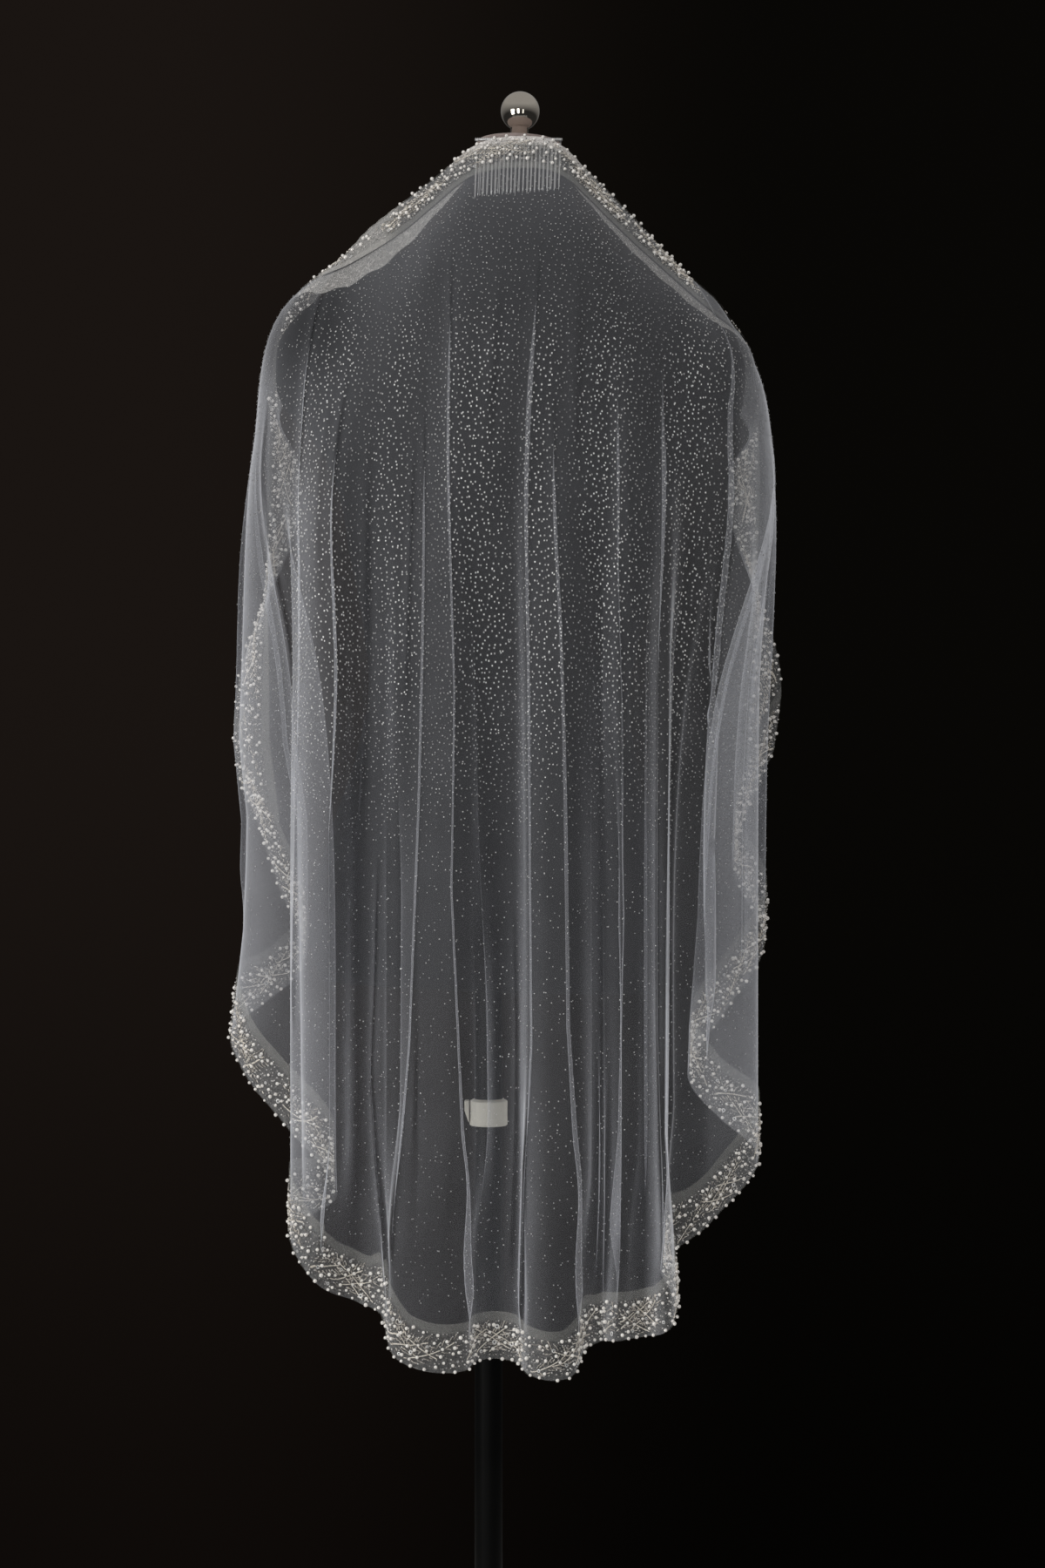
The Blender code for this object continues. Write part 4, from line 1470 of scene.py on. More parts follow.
# What each kind of bead is: its shape, its finish and its usual radius.
BEADS = {
    Bead.PEARLS: (Shape.ball(8, 5), PEARL, 1.55 * MM),
    Bead.SEEDS: (Shape.ball(5, 3), SEED, 0.72 * MM),
    Bead.BUGLES: (Shape.rod(4), BUGLE, 0.36 * MM),
    Bead.STEMS: (Shape.rod(5), STEM, 0.44 * MM),
    Bead.SEQUINS: (Shape.washer(10, 0.42, 0.12), SEQUIN, 2.1 * MM),
}
# Lace that is turned under: its name, its ends along the top edge and its depth.
TURNED_UNDER = (
    ("lace_turned_left", (-268 * MM, -45 * MM), 27 * MM),
    ("lace_turned_right", (50 * MM, 262 * MM), 15 * MM),
)


@dataclass
class BeadedBand:
    """The lace band round the veil's edge, with its beadwork in slanting sprays.

    Attributes:
        veil: the sheet that carries it.
        ground_off: distance of the net ground from the sheet's middle.
        bugle_half: half the length of a bugle.
        spray_step: distance from one spray to the next.
        spray_steps: bugles in a stem.
        leaf_half: half the step from one bugle of a branch to the next.
        crown: middle of the lace that is doubled over the comb, and its half length.
        left_turn: ends of the turn at the left shoulder, along the top edge.
        thin_from: place along the top edge from which the lace at the right is thin.
        outer: distances from the free edge over which the outer lace gives way.
        pearl_step: distance from one pearl to the next.
        sequin_step: the same for sequins.
        seed_step: the same for seed beads.
        edge_gap: least distance from a pearl to those on the edge.
        sequin_gap: least distance from a sequin to a pearl.
        big_gap: least distance from a bugle to a pearl or a sequin.
        tip_gap: the same for the bead at a branch's tip.
        stem_gap: least distance from a branch to a stem.
        seed_gaps: least distance from a seed bead to a round one, a branch and a stem.
        seed: start of the random draws.
    """

    veil: VeilSurface
    ground_off: float = 1.3 * MM
    bugle_half: float = 1.35 * MM
    spray_step: float = 19 * MM
    spray_steps: int = 17
    leaf_half: float = 1.45 * MM
    crown: tuple[float, float] = (4 * MM, 78 * MM)
    left_turn: tuple[float, float] = (-262 * MM, -108 * MM)
    thin_from: float = 180 * MM
    outer: tuple[float, float] = (14 * MM, 7.5 * MM)
    pearl_step: float = 9.8 * MM
    sequin_step: float = 17 * MM
    seed_step: float = 3.8 * MM
    edge_gap: float = 4.6 * MM
    sequin_gap: float = 3.4 * MM
    big_gap: float = 1.9 * MM
    tip_gap: float = 2.3 * MM
    stem_gap: float = 1.6 * MM
    seed_gaps: tuple[float, float, float] = (2.1 * MM, 1.3 * MM, 1.8 * MM)
    seed: int = 5

    def ground(self, strip: Strip, name: str, node: str) -> bpy.types.Object:
        """A strip's net ground: a grid of points off the sheet's outer face.

        Args:
            strip: the strip.
            name: name of the piece.
            node: CAD node that it stands for.

        Returns:
            The piece.
        """
        count, deep = max(8, int(strip.length / (3.5 * MM))), 11
        along, across = np.linspace(0, strip.length, count), np.linspace(0, BORDER_WIDTH, deep)
        s, w = (part.ravel() for part in np.meshgrid(along, across, indexing="ij"))
        ripple = 0.35 * MM * np.sin(s * 2 * math.pi / (13 * MM)) * (1 - w / BORDER_WIDTH) ** 2
        faces = grid_faces(count, deep)
        if strip.run in (Run.TOP, Run.RIGHT_FRONT):
            faces = faces[:, ::-1]
        mesh = make_mesh(name, (strip.point(s, w, self.ground_off + ripple), [faces]))
        add_map(mesh, s, w)
        add_values(mesh, "doubled", self.doubled(strip, s, w)[0])
        return place(mesh, LaceFinish(), "beaded_lace", node)

    @staticmethod
    def turned_under(strip: Strip, name: str, ends: tuple[float, float], deep: float) -> bpy.types.Object:
        """Lace that is turned under at a shoulder, seen through the tulle below the band.

        It lies on the sheet's inner side from the band's inner edge to a depth of
        deep sin(pi t)^0.8, with t from 0 to 1 between its ends, less a small scallop.

        Args:
            strip: the strip along the top edge.
            name: name of the piece.
            ends: where it begins and ends, along the top edge.
            deep: its greatest depth.

        Returns:
            The piece.
        """
        shares = np.interp(ends, table(FOLDS)[:, 0], np.arange(len(FOLDS))) / LAST_FOLD
        low, high = np.interp(shares, strip.marks, strip.measured)
        t, k = np.meshgrid(np.linspace(0, 1, 140), np.linspace(0, 1, 9), indexing="ij")
        s, k = (low + (high - low) * t).ravel(), k.ravel()
        bow = np.sin(math.pi * t.ravel()) ** 0.8 * (1 - 0.07 * np.cos(s * 2 * math.pi / (31 * MM)))
        w = BORDER_WIDTH - 2 * MM + deep * bow * k
        points = strip.point(s, w, np.full(len(s), -1.0 * MM))
        mesh = make_mesh(name, (points, [grid_faces(*t.shape)[:, ::-1]]))
        add_map(mesh, s, 4 * MM + k * 26 * MM)
        add_values(mesh, "doubled", 0.40 + 0.10 * k)
        return place(mesh, LaceFinish(), "beaded_lace")

    def doubled(self, strip: Strip, s: np.ndarray, w: np.ndarray) -> tuple[np.ndarray, np.ndarray]:
        """How the lace lies double along the top edge.

        It lies double over the comb and at the left shoulder, where it turns under, and thin at
        the right shoulder, past its turn. Both turns hide most beads.

        Args:
            strip: the strip.
            s: distances along it.
            w: distances from its free edge.

        Returns:
            How much more lace there is than one layer, and the share of beads that is missing.
        """
        if strip.run is not Run.TOP:
            return np.zeros(len(s)), np.zeros(len(s))
        fold, _ = strip.at(s, w)
        along = np.interp(fold, np.arange(len(FOLDS)), table(FOLDS)[:, 0])
        (middle, half), (first, last) = self.crown, self.left_turn
        crown = ease((half - np.abs(along - middle)) / (30 * MM)) * fade(w, self.outer[0], 7 * MM)
        left = fade(along, first, first + 30 * MM) * fade(along, last, last - 30 * MM)
        right = fade(along, self.thin_from, self.thin_from + 20 * MM)
        outer = fade(w, self.outer[0], 8 * MM)
        bare = np.maximum(left * (0.4 + 0.55 * outer), right * 0.95)
        return np.maximum(crown, left * 0.45) - 0.15 * right, bare

    def sprays(self, strip: Strip, chance: np.random.Generator) -> tuple[np.ndarray, ...]:
        """Long arched sprays that lie aslant along the band, overlapping like ears of wheat.

        A stem is s = s0 + d (t + b t^2) / (1 + b), w = w0 + (w1 - w0) t^c, with t from 0 to 1. At
        every other step a branch of three bugles leaves it on each side at about 40 degrees and
        bends towards its tip, where a seed bead sits.

        Args:
            strip: the strip.
            chance: source of the random draws.

        Returns:
            Tip beads as (s, w), the stems' bugles as (s, w, turn) and the branches' the same.
        """
        count = max(1, int(strip.length / self.spray_step))
        start = (np.arange(count) + 0.5) * strip.length / count + chance.normal(0, 3 * MM, count)
        side = np.where(np.arange(count) % 5 < 3, 1.0, -1.0)
        t = (np.arange(self.spray_steps) + 0.5)[None] / self.spray_steps
        reach = (side * (40 + chance.normal(0, 5, count)) * MM)[:, None]
        bend = chance.uniform(-0.3, 0.6, count)[:, None]
        curve = chance.uniform(0.7, 1.5, count)[:, None]
        low, high = chance.uniform(4, 12, (2, count))[..., None] * MM
        high = BORDER_WIDTH - BORDER_MARGIN - high
        s = start[:, None] + reach * (t + bend * t * t) / (1 + bend)
        w = low + (high - low) * t**curve
        turn = np.arctan2(np.gradient(w, axis=1), np.gradient(s, axis=1))
        stems, found, tips = np.stack([s, w, turn], axis=2).reshape(-1, 3), [], []
        for way in (-1.0, 1.0):
            every = slice(1 + (way > 0), None, 2)
            spot = np.stack([s[:, every], w[:, every]], axis=2)
            leaf = turn[:, every] + way * (0.80 + chance.normal(0, 0.07, spot.shape[:2]))
            for _ in range(3):
                ahead = np.stack([np.cos(leaf), np.sin(leaf)], axis=2)
                spot = spot + ahead * self.leaf_half
                found.append(np.concatenate([spot, leaf[..., None]], axis=2).reshape(-1, 3))
                spot = spot + ahead * self.leaf_half
                leaf = leaf - way * 0.16
            tips.append((spot + np.stack([np.cos(leaf), np.sin(leaf)], axis=2) * 0.8 * MM).reshape(-1, 2))
        return np.concatenate(tips), stems, np.concatenate(found)

    @staticmethod
    def scattered(strip: Strip, step: float, chance: np.random.Generator) -> np.ndarray:
        """Places on a staggered lattice, each moved by up to a third of a step.

        Args:
            strip: the strip.
            step: distance from one place to the next.
            chance: source of the random draws.

        Returns:
            Places as (s, w).
        """
        across = BORDER_WIDTH - BORDER_MARGIN - 3 * MM
        rows = max(2, round(across / (step * 0.87)))
        columns = int(strip.length / step)
        i, j = np.meshgrid(np.arange(columns), np.arange(rows), indexing="ij")
        s = (i + 0.5 * (j % 2) + 0.25) * strip.length / columns
        w = 3 * MM + (j + 0.5) * across / rows
        move = chance.uniform(-0.33, 0.33, (2, *i.shape)) * step
        return np.stack([s + move[0], w + move[1]], axis=2).reshape(-1, 2)

    @staticmethod
    def clear_of(places: np.ndarray, *gaps: tuple[np.ndarray, float]) -> np.ndarray:
        """The places that keep their distance from others.

        Args:
            places: places as (s, w) or (s, w, turn).
            gaps: pairs of other places and the least distance from each of them.

        Returns:
            The places that are kept.
        """
        for others, gap in gaps:
            keep = np.ones(len(places), bool)
            for start in range(0, len(places), 500):
                some = places[start : start + 500, None, :2] - others[None, :, :2]
                keep[start : start + 500] = np.min(np.sum(some * some, axis=2), axis=1) > gap * gap
            places = places[keep]
        return places

    @staticmethod
    def within(strip: Strip, places: np.ndarray) -> np.ndarray:
        """The places that lie on the strip, clear of its edges and its margin.

        Args:
            strip: the strip.
            places: places as (s, w) or (s, w, turn).

        Returns:
            The places that are kept.
        """
        s, w = places[:, 0], places[:, 1]
        edge = 1.2 * MM
        inside = (s > edge) & (s < strip.length - edge) & (w > edge) & (w < BORDER_WIDTH - BORDER_MARGIN)
        return places[inside]

    def beads(self, strip: Strip, chance: np.random.Generator) -> dict[Bead, np.ndarray]:
        """Every bead of a strip.

        Args:
            strip: the strip.
            chance: source of the random draws.

        Returns:
            For each kind of bead its places as (s, w, turn).
        """
        edge = np.cumsum(chance.uniform(9, 17, int(strip.length / (12 * MM)))) * MM
        edge = edge[edge < strip.length - 3 * MM]
        edge = np.stack([edge, chance.uniform(0.2, 2.0, len(edge)) * MM], axis=1)
        inner = self.clear_of(self.scattered(strip, self.pearl_step, chance), (edge, self.edge_gap))
        pearls = np.concatenate([edge, inner])
        sequins = self.scattered(strip, self.sequin_step, chance)
        sequins = self.clear_of(sequins, (pearls, self.sequin_gap))
        big = np.concatenate([pearls, sequins])
        tips, stems, leaves = (self.within(strip, found) for found in self.sprays(strip, chance))
        stems = self.clear_of(stems, (big, self.big_gap))
        leaves = self.clear_of(leaves, (big, self.big_gap), (stems, self.stem_gap))
        tips = self.clear_of(tips, (big, self.tip_gap), (stems, self.stem_gap))
        seeds = self.within(strip, self.scattered(strip, self.seed_step, chance))
        taken = (np.concatenate([big, tips]), leaves, stems)
        seeds = np.concatenate([tips, self.clear_of(seeds, *zip(taken, self.seed_gaps))])
        found = {
            Bead.PEARLS: np.column_stack([pearls, np.zeros(len(pearls))]),
            Bead.SEEDS: np.column_stack([seeds, np.zeros(len(seeds))]),
            Bead.BUGLES: leaves,
            Bead.STEMS: stems,
            Bead.SEQUINS: np.column_stack([sequins, chance.uniform(0, 6, len(sequins))]),
        }
        return {
            kind: rows[chance.random(len(rows)) > self.doubled(strip, rows[:, 0], rows[:, 1])[1]]
            for kind, rows in found.items()
        }

    def build(self) -> list[bpy.types.Object]:
        """The four strips of ground, and the beads of all of them as one joined mesh a kind."""
        chance = np.random.default_rng(self.seed)
        gathered: dict[Bead, list[tuple[np.ndarray, ...]]] = {kind: [] for kind in Bead}
        pieces = []
        for run in Run:
            strip = Strip(self.veil, run)
            pieces.append(self.ground(strip, f"lace_{run.value}", f"border_{run.value}"))
            if run is Run.TOP:
                pieces += [self.turned_under(strip, *row) for row in TURNED_UNDER]
            for kind, found in self.beads(strip, chance).items():
                gathered[kind].append(self.settings(strip, kind, found, chance))
        for kind, (shape, finish, _) in BEADS.items():
            seats, axes, sizes, tone = (np.concatenate(part) for part in zip(*gathered[kind]))
            mesh = make_mesh(f"band_{kind.value}", shape.set_at(seats, axes, sizes))
            add_values(mesh, "tone", shape.spread(tone))
            pieces.append(place(mesh, finish, "beaded_lace"))
        return pieces

    def settings(
        self, strip: Strip, kind: Bead, found: np.ndarray, chance: np.random.Generator
    ) -> tuple[np.ndarray, ...]:
        """How the beads of one kind are set on a strip.

        Args:
            strip: the strip.
            kind: kind of bead.
            found: places as (s, w, turn).
            chance: source of the random draws.

        Returns:
            Centre, axes, sizes and tone of every bead.
        """
        s, w, turn = found.T
        count = len(found)
        size = BEADS[kind][2] * (1 + chance.normal(0, 0.10, count))
        axes = strip.axes(s, w, turn + chance.normal(0, 0.12, count))
        sizes = np.repeat(size[:, None], 3, axis=1)
        high = size * 0.85
        if kind in (Bead.BUGLES, Bead.STEMS):
            sizes[:, 0] = self.bugle_half * (1 + chance.normal(0, 0.06, count))
            high = size + (0.1 if kind is Bead.BUGLES else 0.4) * MM
        elif kind is Bead.SEQUINS:
            sizes *= np.where(chance.random(count) < 0.7, 0.72, 1.0)[:, None]
            high = np.full(count, 0.5 * MM)
        else:
            sizes[:, 2] *= 0.92
        seats = strip.point(s, w, self.ground_off + high)
        power = 1.2 if kind in (Bead.SEEDS, Bead.BUGLES) else 0.8
        return seats, axes, sizes, chance.random(count) ** power


@dataclass
class WireComb:
    """The silver comb at the nape: a wound bar with paired straight teeth.

    Attributes:
        teeth: number of paired teeth.
        pitch: distance from one to the next.
        bend: radius of the comb's own curve.
        top: height of its upper edge.
        bar: half thickness of the wound bar.
        turns: turns of the winding.
        wire: radius of a tooth's wire.
        winding: radius of the wire wound round the bar.
        tips: heights of the tips at the left and the right end.
    """

    teeth: int = 22
    pitch: float = 3.5 * MM
    bend: float = 300 * MM
    top: float = 1569.6 * MM
    bar: float = 1.5 * MM
    turns: int = 44
    wire: float = 0.38 * MM
    winding: float = 0.32 * MM
    tips: tuple[float, float] = (1517 * MM, 1523 * MM)

    def path(self, x: np.ndarray, height: np.ndarray, out: np.ndarray | float) -> np.ndarray:
        """Points off the face of the nape, bent round it.

        Args:
            x: distances from the middle of the comb.
            height: heights.
            out: distances out from the face.

        Returns:
            Points as (point, xyz).
        """
        axis = np.stack([0 * height, 0 * height, height], axis=-1)
        back = form_section(tilted(axis, back=True)[..., 2])[..., 1]
        bow = self.bend - np.sqrt(self.bend**2 - x * x)
        return np.stack([tilted(axis)[..., 0] + x, bow - back - 2 * GAP - out, height], axis=-1)

    def build(self) -> bpy.types.Object:
        """Bar, winding and teeth as tubes along their paths, in one mesh."""
        chance = np.random.default_rng(3)
        half = self.teeth * self.pitch / 2
        x = np.linspace(-half, half, 40)
        middle, wound = self.top - self.bar, self.bar * 0.95
        parts = [tube(self.path(x, np.full(40, middle), self.bar), self.bar * 0.75, 10)]
        fine = np.linspace(-half + 0.5 * MM, half - 0.5 * MM, self.turns * 8)
        wind = np.linspace(0, 2 * math.pi * self.turns, len(fine))
        coil = self.path(fine, middle + wound * np.cos(wind), self.bar + wound * np.sin(wind))
        parts.append(tube(coil, self.winding, 5))
        share, root = np.linspace(0, 1, 14), middle - self.bar
        for tooth in range(self.teeth):
            for way in (-1, 1):
                foot = (tooth + 0.5) * self.pitch - half + (way * 0.4 + chance.normal(0, 0.1)) * MM
                tip = np.interp(foot, (-half, half), self.tips) + chance.normal(0, 0.8) * MM
                sway = foot + chance.normal(0, 0.25) * MM * share**2
                radius = self.wire * (1 - 0.35 * fade(share, 0.85, 1.0))
                path = self.path(sway, root + (tip - root) * share, self.wire + 0.2 * MM)
                parts.append(tube(path, radius, 6))
        return place(make_mesh("wire_comb", joined(parts)), COMB_WIRE, "comb_wire", "hair_comb")


# ---------------------------------------------------------------------------------------------
# The form and its stand
# ---------------------------------------------------------------------------------------------
@dataclass
class DressForm:
    """The limbless torso with its neck cap and finial."""

    segments: int = 128
    rows: int = 150
    roll: float = 5 * MM
    ball_radius: float = 17.3 * MM
    stem_radius: float = 8 * MM
    stem_height: float = 7.9 * MM

    def torso(self) -> bpy.types.Object:
        """Superellipse sections from the hip to the neck, with rolled ends.

        The point at the angle a is (A sgn(cos a)|cos a|^q, B sgn(sin a)|sin a|^q), q = 2/p, and
        the sections draw in over the roll at both ends.
        """
        rolled = np.linspace(0, math.pi / 2, 7)
        height = np.concatenate([
            FORM_BOTTOM + self.roll * (1 - np.cos(rolled)),
            np.linspace(FORM_BOTTOM, NECK_TOP, self.rows)[2:-2],
            NECK_TOP - self.roll * (1 - np.sin(rolled)),
        ])
        low = 1 - np.clip((height - FORM_BOTTOM) / self.roll, 0, 1)
        high = 1 - np.clip((NECK_TOP - height) / self.roll, 0, 1)
        draw = self.roll * (2 - np.sqrt(1 - low**2) - np.sqrt(1 - high**2))
        half, back, front = (form_section(height) - draw[:, None]).T
        turn = circle(self.segments).T[..., None]
        x, y = np.sign(turn) * np.abs(turn) ** (2 / FORM_ROUNDNESS)
        points = np.stack(np.broadcast_arrays(x * half, y * np.where(y < 0, back, front), height), axis=2)
        mesh = make_mesh("jersey_torso", rings(tilted(points)), sharp=55)
        add_map(mesh, lengths_along(np.swapaxes(points, 0, 1)).T, height)
        return place(mesh, JerseyFinish(), "jersey", "form_torso")

    @staticmethod
    def leaning(parts: Parts, height: float) -> Parts:
        """A piece that stands on the form at a height and leans with it."""
        return tilted(parts[0] + [0.0, 0.0, height]), parts[1]

    def cap(self) -> bpy.types.Object:
        """The low domed cap on the neck, with a rolled edge."""
        edge, foot, dome = 4 * MM, 1.2 * MM, 3 * MM
        inner = CAP_RADIUS - edge
        profile = [
            (0.0, 0.0), (inner, 0.0),
            *arc(foot, -90, 0, 4, (CAP_RADIUS - foot, foot)),
            *arc(edge, 0, 78, 8, (inner, CAP_HEIGHT - dome - edge)),
            *((inner * k, CAP_HEIGHT - dome * k**2) for k in np.linspace(0.95, 0.04, 14)),
            (0.0, CAP_HEIGHT),
        ]
        mesh = make_mesh("neck_cap_cover", self.leaning(lathe(profile, 96), NECK_TOP + GAP))
        return place(mesh, TAUPE, "cap_covering", "neck_cap")

    def finial(self) -> bpy.types.Object:
        """The polished ball on its short stem."""
        centre, bevel = self.stem_height + self.ball_radius * 0.92, 0.6 * MM
        foot = math.degrees(math.asin(self.stem_radius / self.ball_radius)) - 90
        profile = [
            (0.0, 0.0), (self.stem_radius - bevel, 0.0), (self.stem_radius, bevel),
            *arc(self.ball_radius, foot, 89, 44, (0.0, centre)),
            (0.0, centre + self.ball_radius),
        ]
        stood = self.leaning(lathe(profile, 96), NECK_TOP + CAP_HEIGHT + 2 * GAP)
        return place(make_mesh("polished_finial", stood), POLISHED, "polished_metal", "finial_ball")


@dataclass
class Stand:
    """Base plate, pole, and the locking collar with its lever."""

    base_radius: float = 180 * MM
    base_height: float = 16 * MM
    hub_radius: float = 28 * MM
    hub_height: float = 34 * MM
    pole_radius: float = 12.5 * MM
    collar_radius: float = 17 * MM
    collar_bottom: float = 694.5 * MM
    collar_height: float = 24 * MM
    collar_dome: float = 1.5 * MM
    lever_reach: float = 21.5 * MM
    lever_half: float = 5 * MM

    def base(self) -> bpy.types.Object:
        """The round plate with its hub, turned from a rounded profile."""
        edge, slope = 5 * MM, 3 * MM
        profile = [
            (0.0, 0.0), (self.base_radius - 1 * MM, 0.0), (self.base_radius, 1 * MM),
            *arc(edge, 0, 80, 8, (self.base_radius - edge, self.base_height - slope - edge)),
            (self.hub_radius + edge, self.base_height),
            *arc(edge, -90, -180, 6, (self.hub_radius + edge, self.base_height + edge))[1:],
            *arc(edge, 0, 90, 8, (self.hub_radius - edge, self.hub_height - edge)),
            (self.pole_radius + 1 * MM, self.hub_height), (self.pole_radius, self.hub_height - 0.5 * MM),
            (0.0, self.hub_height - 0.5 * MM),
        ]
        mesh = make_mesh("painted_base", lathe(profile, 128), sharp=40)
        return place(mesh, BASE_PAINT, "black_paint", "base_plate")

    def pole(self) -> bpy.types.Object:
        """The straight pole, with a slight bevel at each end."""
        low, high = self.hub_height + GAP, FORM_BOTTOM - self.pole_radius * math.sin(FORM_LEAN) - GAP
        radius, bevel = self.pole_radius, 0.5 * MM
        profile = [
            (0.0, low), (radius - bevel, low), (radius, low + bevel),
            *((radius, height) for height in np.linspace(low + 50 * MM, high - 50 * MM, 12)),
            (radius, high - bevel), (radius - bevel, high), (0.0, high),
        ]
        mesh = make_mesh("painted_pole", lathe(profile, 64), sharp=40)
        return place(mesh, POLE_PAINT, "black_paint", "pole")

    def collar(self) -> bpy.types.Object:
        """The white collar: a loop of profile with rounded rims and a domed top, turned."""
        inner, bevel, radius = self.pole_radius + GAP, 1.5 * MM, self.collar_radius
        low, top = self.collar_bottom, self.collar_bottom + self.collar_height
        rim = top - self.collar_dome
        tall = rim - low - 2 * bevel
        profile = arc(bevel, -90, 0, 5, (radius - bevel, low + bevel))
        for k in np.linspace(0.1, 0.9, 7):
            profile.append((radius - 0.2 * MM * math.sin(k * math.pi), low + bevel + k * tall))
        profile += arc(bevel, 0, 40, 4, (radius - bevel, rim - bevel))
        edge, height = profile[-1]
        for k in np.linspace(0.1, 0.9, 8):
            profile.append((edge + (inner - edge) * k, height + (top - height) * k**0.8))
        profile += [(inner, top), (inner, low)]
        mesh = make_mesh("white_collar", lathe(profile, 72, ring=True), sharp=40)
        return place(mesh, PLASTIC, "white_plastic", "locking_collar")

    def lever(self) -> bpy.types.Object:
        """The thumb lever: its side outline carried across its width, with bevelled edges."""
        top = self.collar_bottom + self.collar_height - self.collar_dome
        root, tip = -self.collar_radius - GAP, -self.lever_reach
        side = np.array([
            (root, top - 20 * MM), (root, top), (tip + 0.8 * MM, top), (tip, top - 0.8 * MM),
            (tip, top - 8.5 * MM), (tip + 0.6 * MM, top - 10.5 * MM), (root - 0.8 * MM, top - 18.5 * MM),
        ])[:, None]
        across = np.linspace(-self.lever_half, self.lever_half, 6)
        points = np.stack(np.broadcast_arrays(side[..., 0], across, side[..., 1]), axis=2)
        mesh = make_mesh("thumb_lever", rings(points, flip=True), sharp=35)
        piece = place(mesh, PLASTIC, "white_plastic", "collar_lever")
        bevel = piece.modifiers.new("Soft edges", "BEVEL")
        bevel.width, bevel.segments, bevel.limit_method = 0.6 * MM, 3, "ANGLE"
        return piece


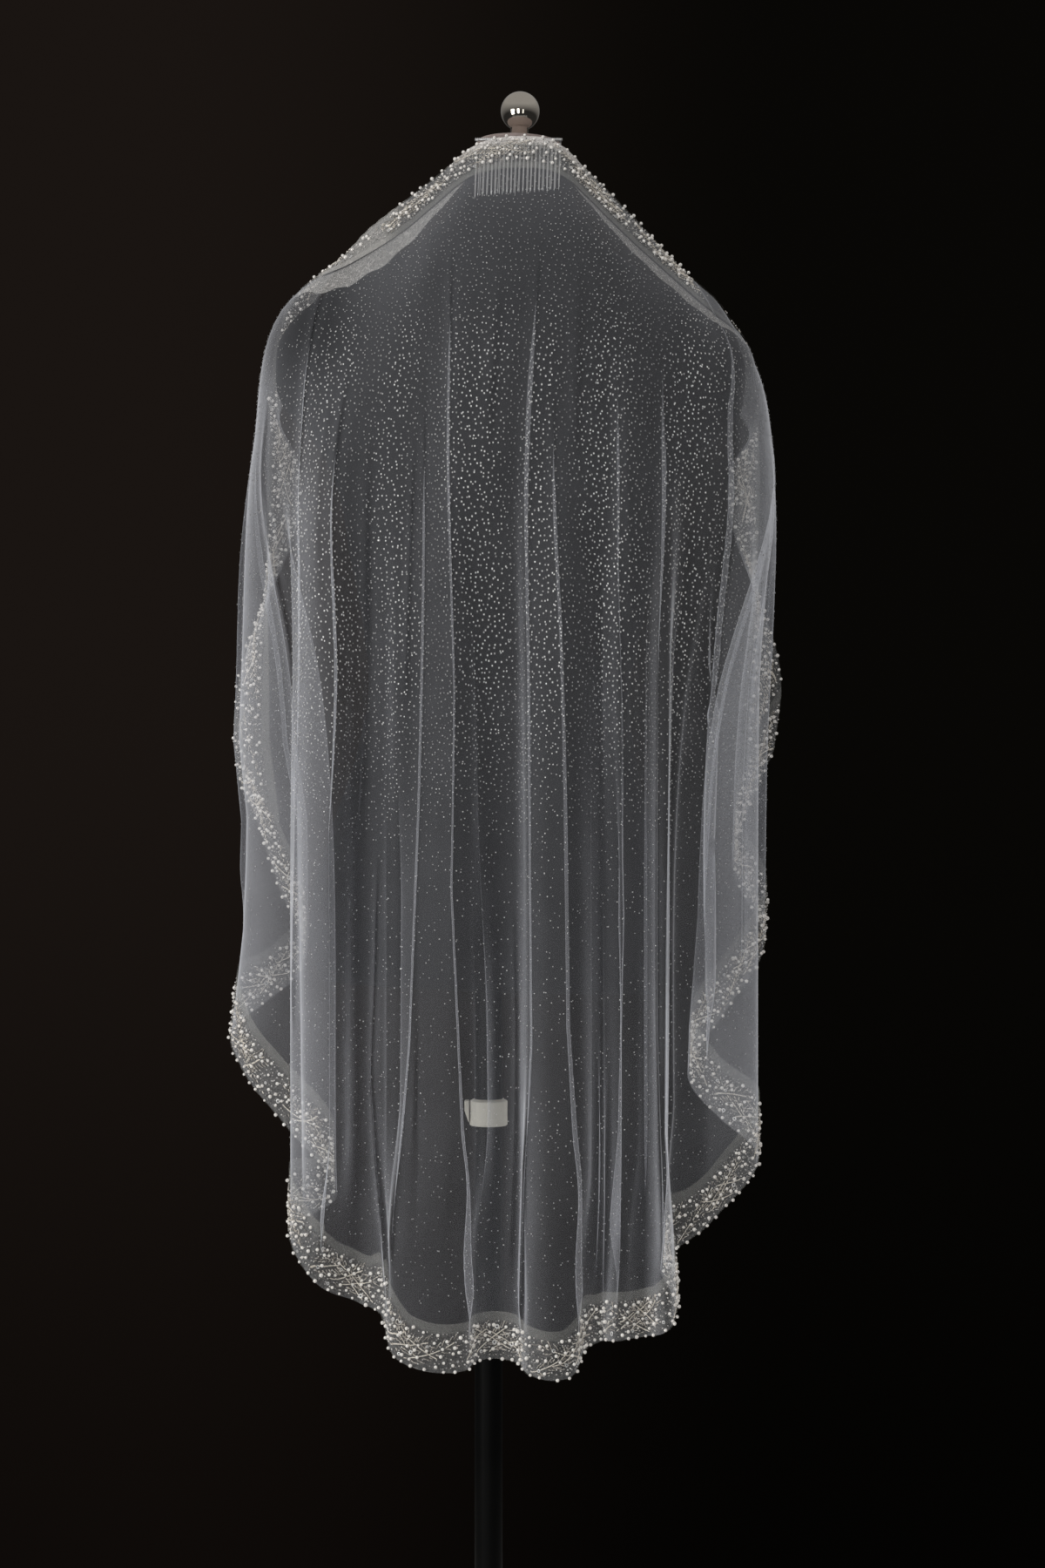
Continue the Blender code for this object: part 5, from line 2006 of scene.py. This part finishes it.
# ---------------------------------------------------------------------------------------------
# Studio
# ---------------------------------------------------------------------------------------------
@dataclass
class Studio:
    """A pale round floor, soft panels of light and the camera.

    Attributes:
        floor_radius: radius of the floor.
        camera: place of the camera, which looks along +Y.
        lens: its focal length in mm.
        painted_light_left: colour of the backdrop at the left of the view, the lit end of a painted falloff
            of light.
        painted_shade_right: the same at the right, the end in painted shade.
        lamp_colour: colour of all panels.
        gaze: point that the panels face.
        panels: name, place, width, height and power in watts of each panel.
    """

    floor_radius: float = 1.0
    camera: tuple[float, float, float] = (0.0304, -2.6, 1.0)
    lens: float = 66.67
    painted_light_left: Colour = (0.0102, 0.0074, 0.0060)
    painted_shade_right: Colour = (0.0025, 0.0022, 0.0017)
    lamp_colour: Colour = (1.0, 0.985, 0.965)
    gaze: tuple[float, float, float] = (0.02, 0.0, 1.1)
    panels: tuple[tuple[str, tuple[float, float, float], float, float, float], ...] = (
        ("window_left", (-2.15, -2.1, 0.95), 1.0, 1.4, 33.0),
        ("window_middle", (-0.62, -3.2, 0.95), 0.65, 1.5, 15.0),
        ("window_right", (1.05, -3.1, 0.85), 0.45, 1.4, 2.5),
        ("overhead", (-0.3, -1.2, 3.2), 2.0, 1.4, 19.0),
        ("side_left", (-2.5, 0.9, 0.7), 0.8, 1.2, 23.0),
        ("side_right", (2.5, 0.9, 0.72), 0.8, 1.2, 24.0),
        ("behind_left", (-1.5, 2.6, 1.2), 1.2, 1.6, 17.0),
        ("behind_right", (1.6, 2.5, 1.2), 1.2, 1.6, 18.0),
    )

    @staticmethod
    def show(name: str, data: bpy.types.ID) -> bpy.types.Object:
        """Puts data into the scene.

        Args:
            name: the object's name.
            data: a mesh, a lamp or a camera.

        Returns:
            The object.
        """
        shown = bpy.data.objects.new(name, data)
        bpy.context.scene.collection.objects.link(shown)
        return shown

    def floor(self) -> None:
        """The pale floor: a low disc, kept just outside the main view."""
        radius, bevel, thick = self.floor_radius, 4 * MM, 30 * MM
        profile = [(0.0, -thick), (radius, -thick), (radius, -bevel), (radius - bevel, 0.0), (0.0, 0.0)]
        mesh = make_mesh("studio_floor", lathe(profile, 128), sharp=40)
        board = Paint("pale_floor")
        cloud = board.noise(board.at_object(), 3.0, 5.0)
        board.set(
            Base_Color=board.mix(cloud, (0.66, 0.65, 0.63), (0.74, 0.73, 0.71)),
            Roughness=cloud * 0.2 + 0.55,
        )
        mesh.materials.append(board.material)
        floor = self.show(mesh.name, mesh)

    def lights(self) -> None:
        """Area lights that face the middle of the veil."""
        for name, spot, width, height, power in self.panels:
            lamp = bpy.data.lights.new(name, "AREA")
            lamp.shape, lamp.size, lamp.size_y, lamp.energy = "RECTANGLE", width, height, power
            lamp.color = self.lamp_colour
            holder = self.show(name, lamp)
            holder.location = spot
            x, y, z = np.array(self.gaze) - np.array(spot)
            holder.rotation_euler = (math.atan2(math.hypot(x, y), -z), 0.0, math.atan2(-x, y))
            holder.visible_glossy = name.startswith("window")

    def surroundings(self) -> None:
        """A dim room: near black behind the object under a painted falloff of light, and soft grey from above
        for the rest.
        """
        world = bpy.data.worlds.new("dim_room")
        world.use_nodes = True
        world.node_tree.nodes.clear()
        board = Board(world.node_tree)
        sides = board.node("SeparateXYZ", {0: board.node("TexCoord").outputs["Generated"]}).outputs
        limits = {"From Min": -0.15, "From Max": 0.55, "To Min": 0.02, "To Max": 0.28}
        rise = board.node("MapRange", {"Value": sides["Z"], **limits})
        grey = {"Color": (1.0, 0.97, 0.94, 1.0), "Strength": rise.outputs["Result"]}
        # Painted light on the backdrop, seen only by the camera: lighter at the left, darker to the right and
        # towards the bottom.
        painted_falloff = {
            "Color": board.mix(Signal(board, sides["X"]).step(-0.13, 0.09), self.painted_light_left, self.painted_shade_right),
            "Strength": Signal(board, sides["Z"]).step(-0.3, 0.06, least=0.42),
        }
        room, backdrop = (board.node("Background", inputs).outputs[0] for inputs in (grey, painted_falloff))
        seen = board.node("LightPath").outputs["Is Camera Ray"]
        mixed = board.node("MixShader", {"Fac": seen, 1: room, 2: backdrop})
        board.node("OutputWorld", {"Surface": mixed.outputs[0]})
        bpy.context.scene.world = world

    def set_up(self) -> None:
        """Floor, lights, surroundings, camera and the plain view of tones."""
        self.floor()
        self.lights()
        self.surroundings()
        lens = bpy.data.cameras.new("camera")
        lens.lens, lens.sensor_width = self.lens, 36.0
        camera = self.show("camera", lens)
        camera.location, camera.rotation_euler = self.camera, (math.pi / 2, 0.0, 0.0)
        scene = bpy.context.scene
        scene.camera = camera
        scene.view_settings.view_transform = "Standard"
        scene.cycles.transparent_max_bounces = 40


def main() -> None:
    logging.basicConfig(level=logging.INFO, format="%(message)s")
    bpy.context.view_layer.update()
    Studio().set_up()
    veil = VeilSurface()
    sheet = TullePanel(veil).build()
    stones = Rhinestones(veil).build()
    band = BeadedBand(veil).build()
    form, stand = DressForm(), Stand()
    for build in (
        WireComb().build, form.torso, form.cap, form.finial, stand.base, stand.pole, stand.collar, stand.lever
    ):
        build()


if __name__ == "__main__":
    main()
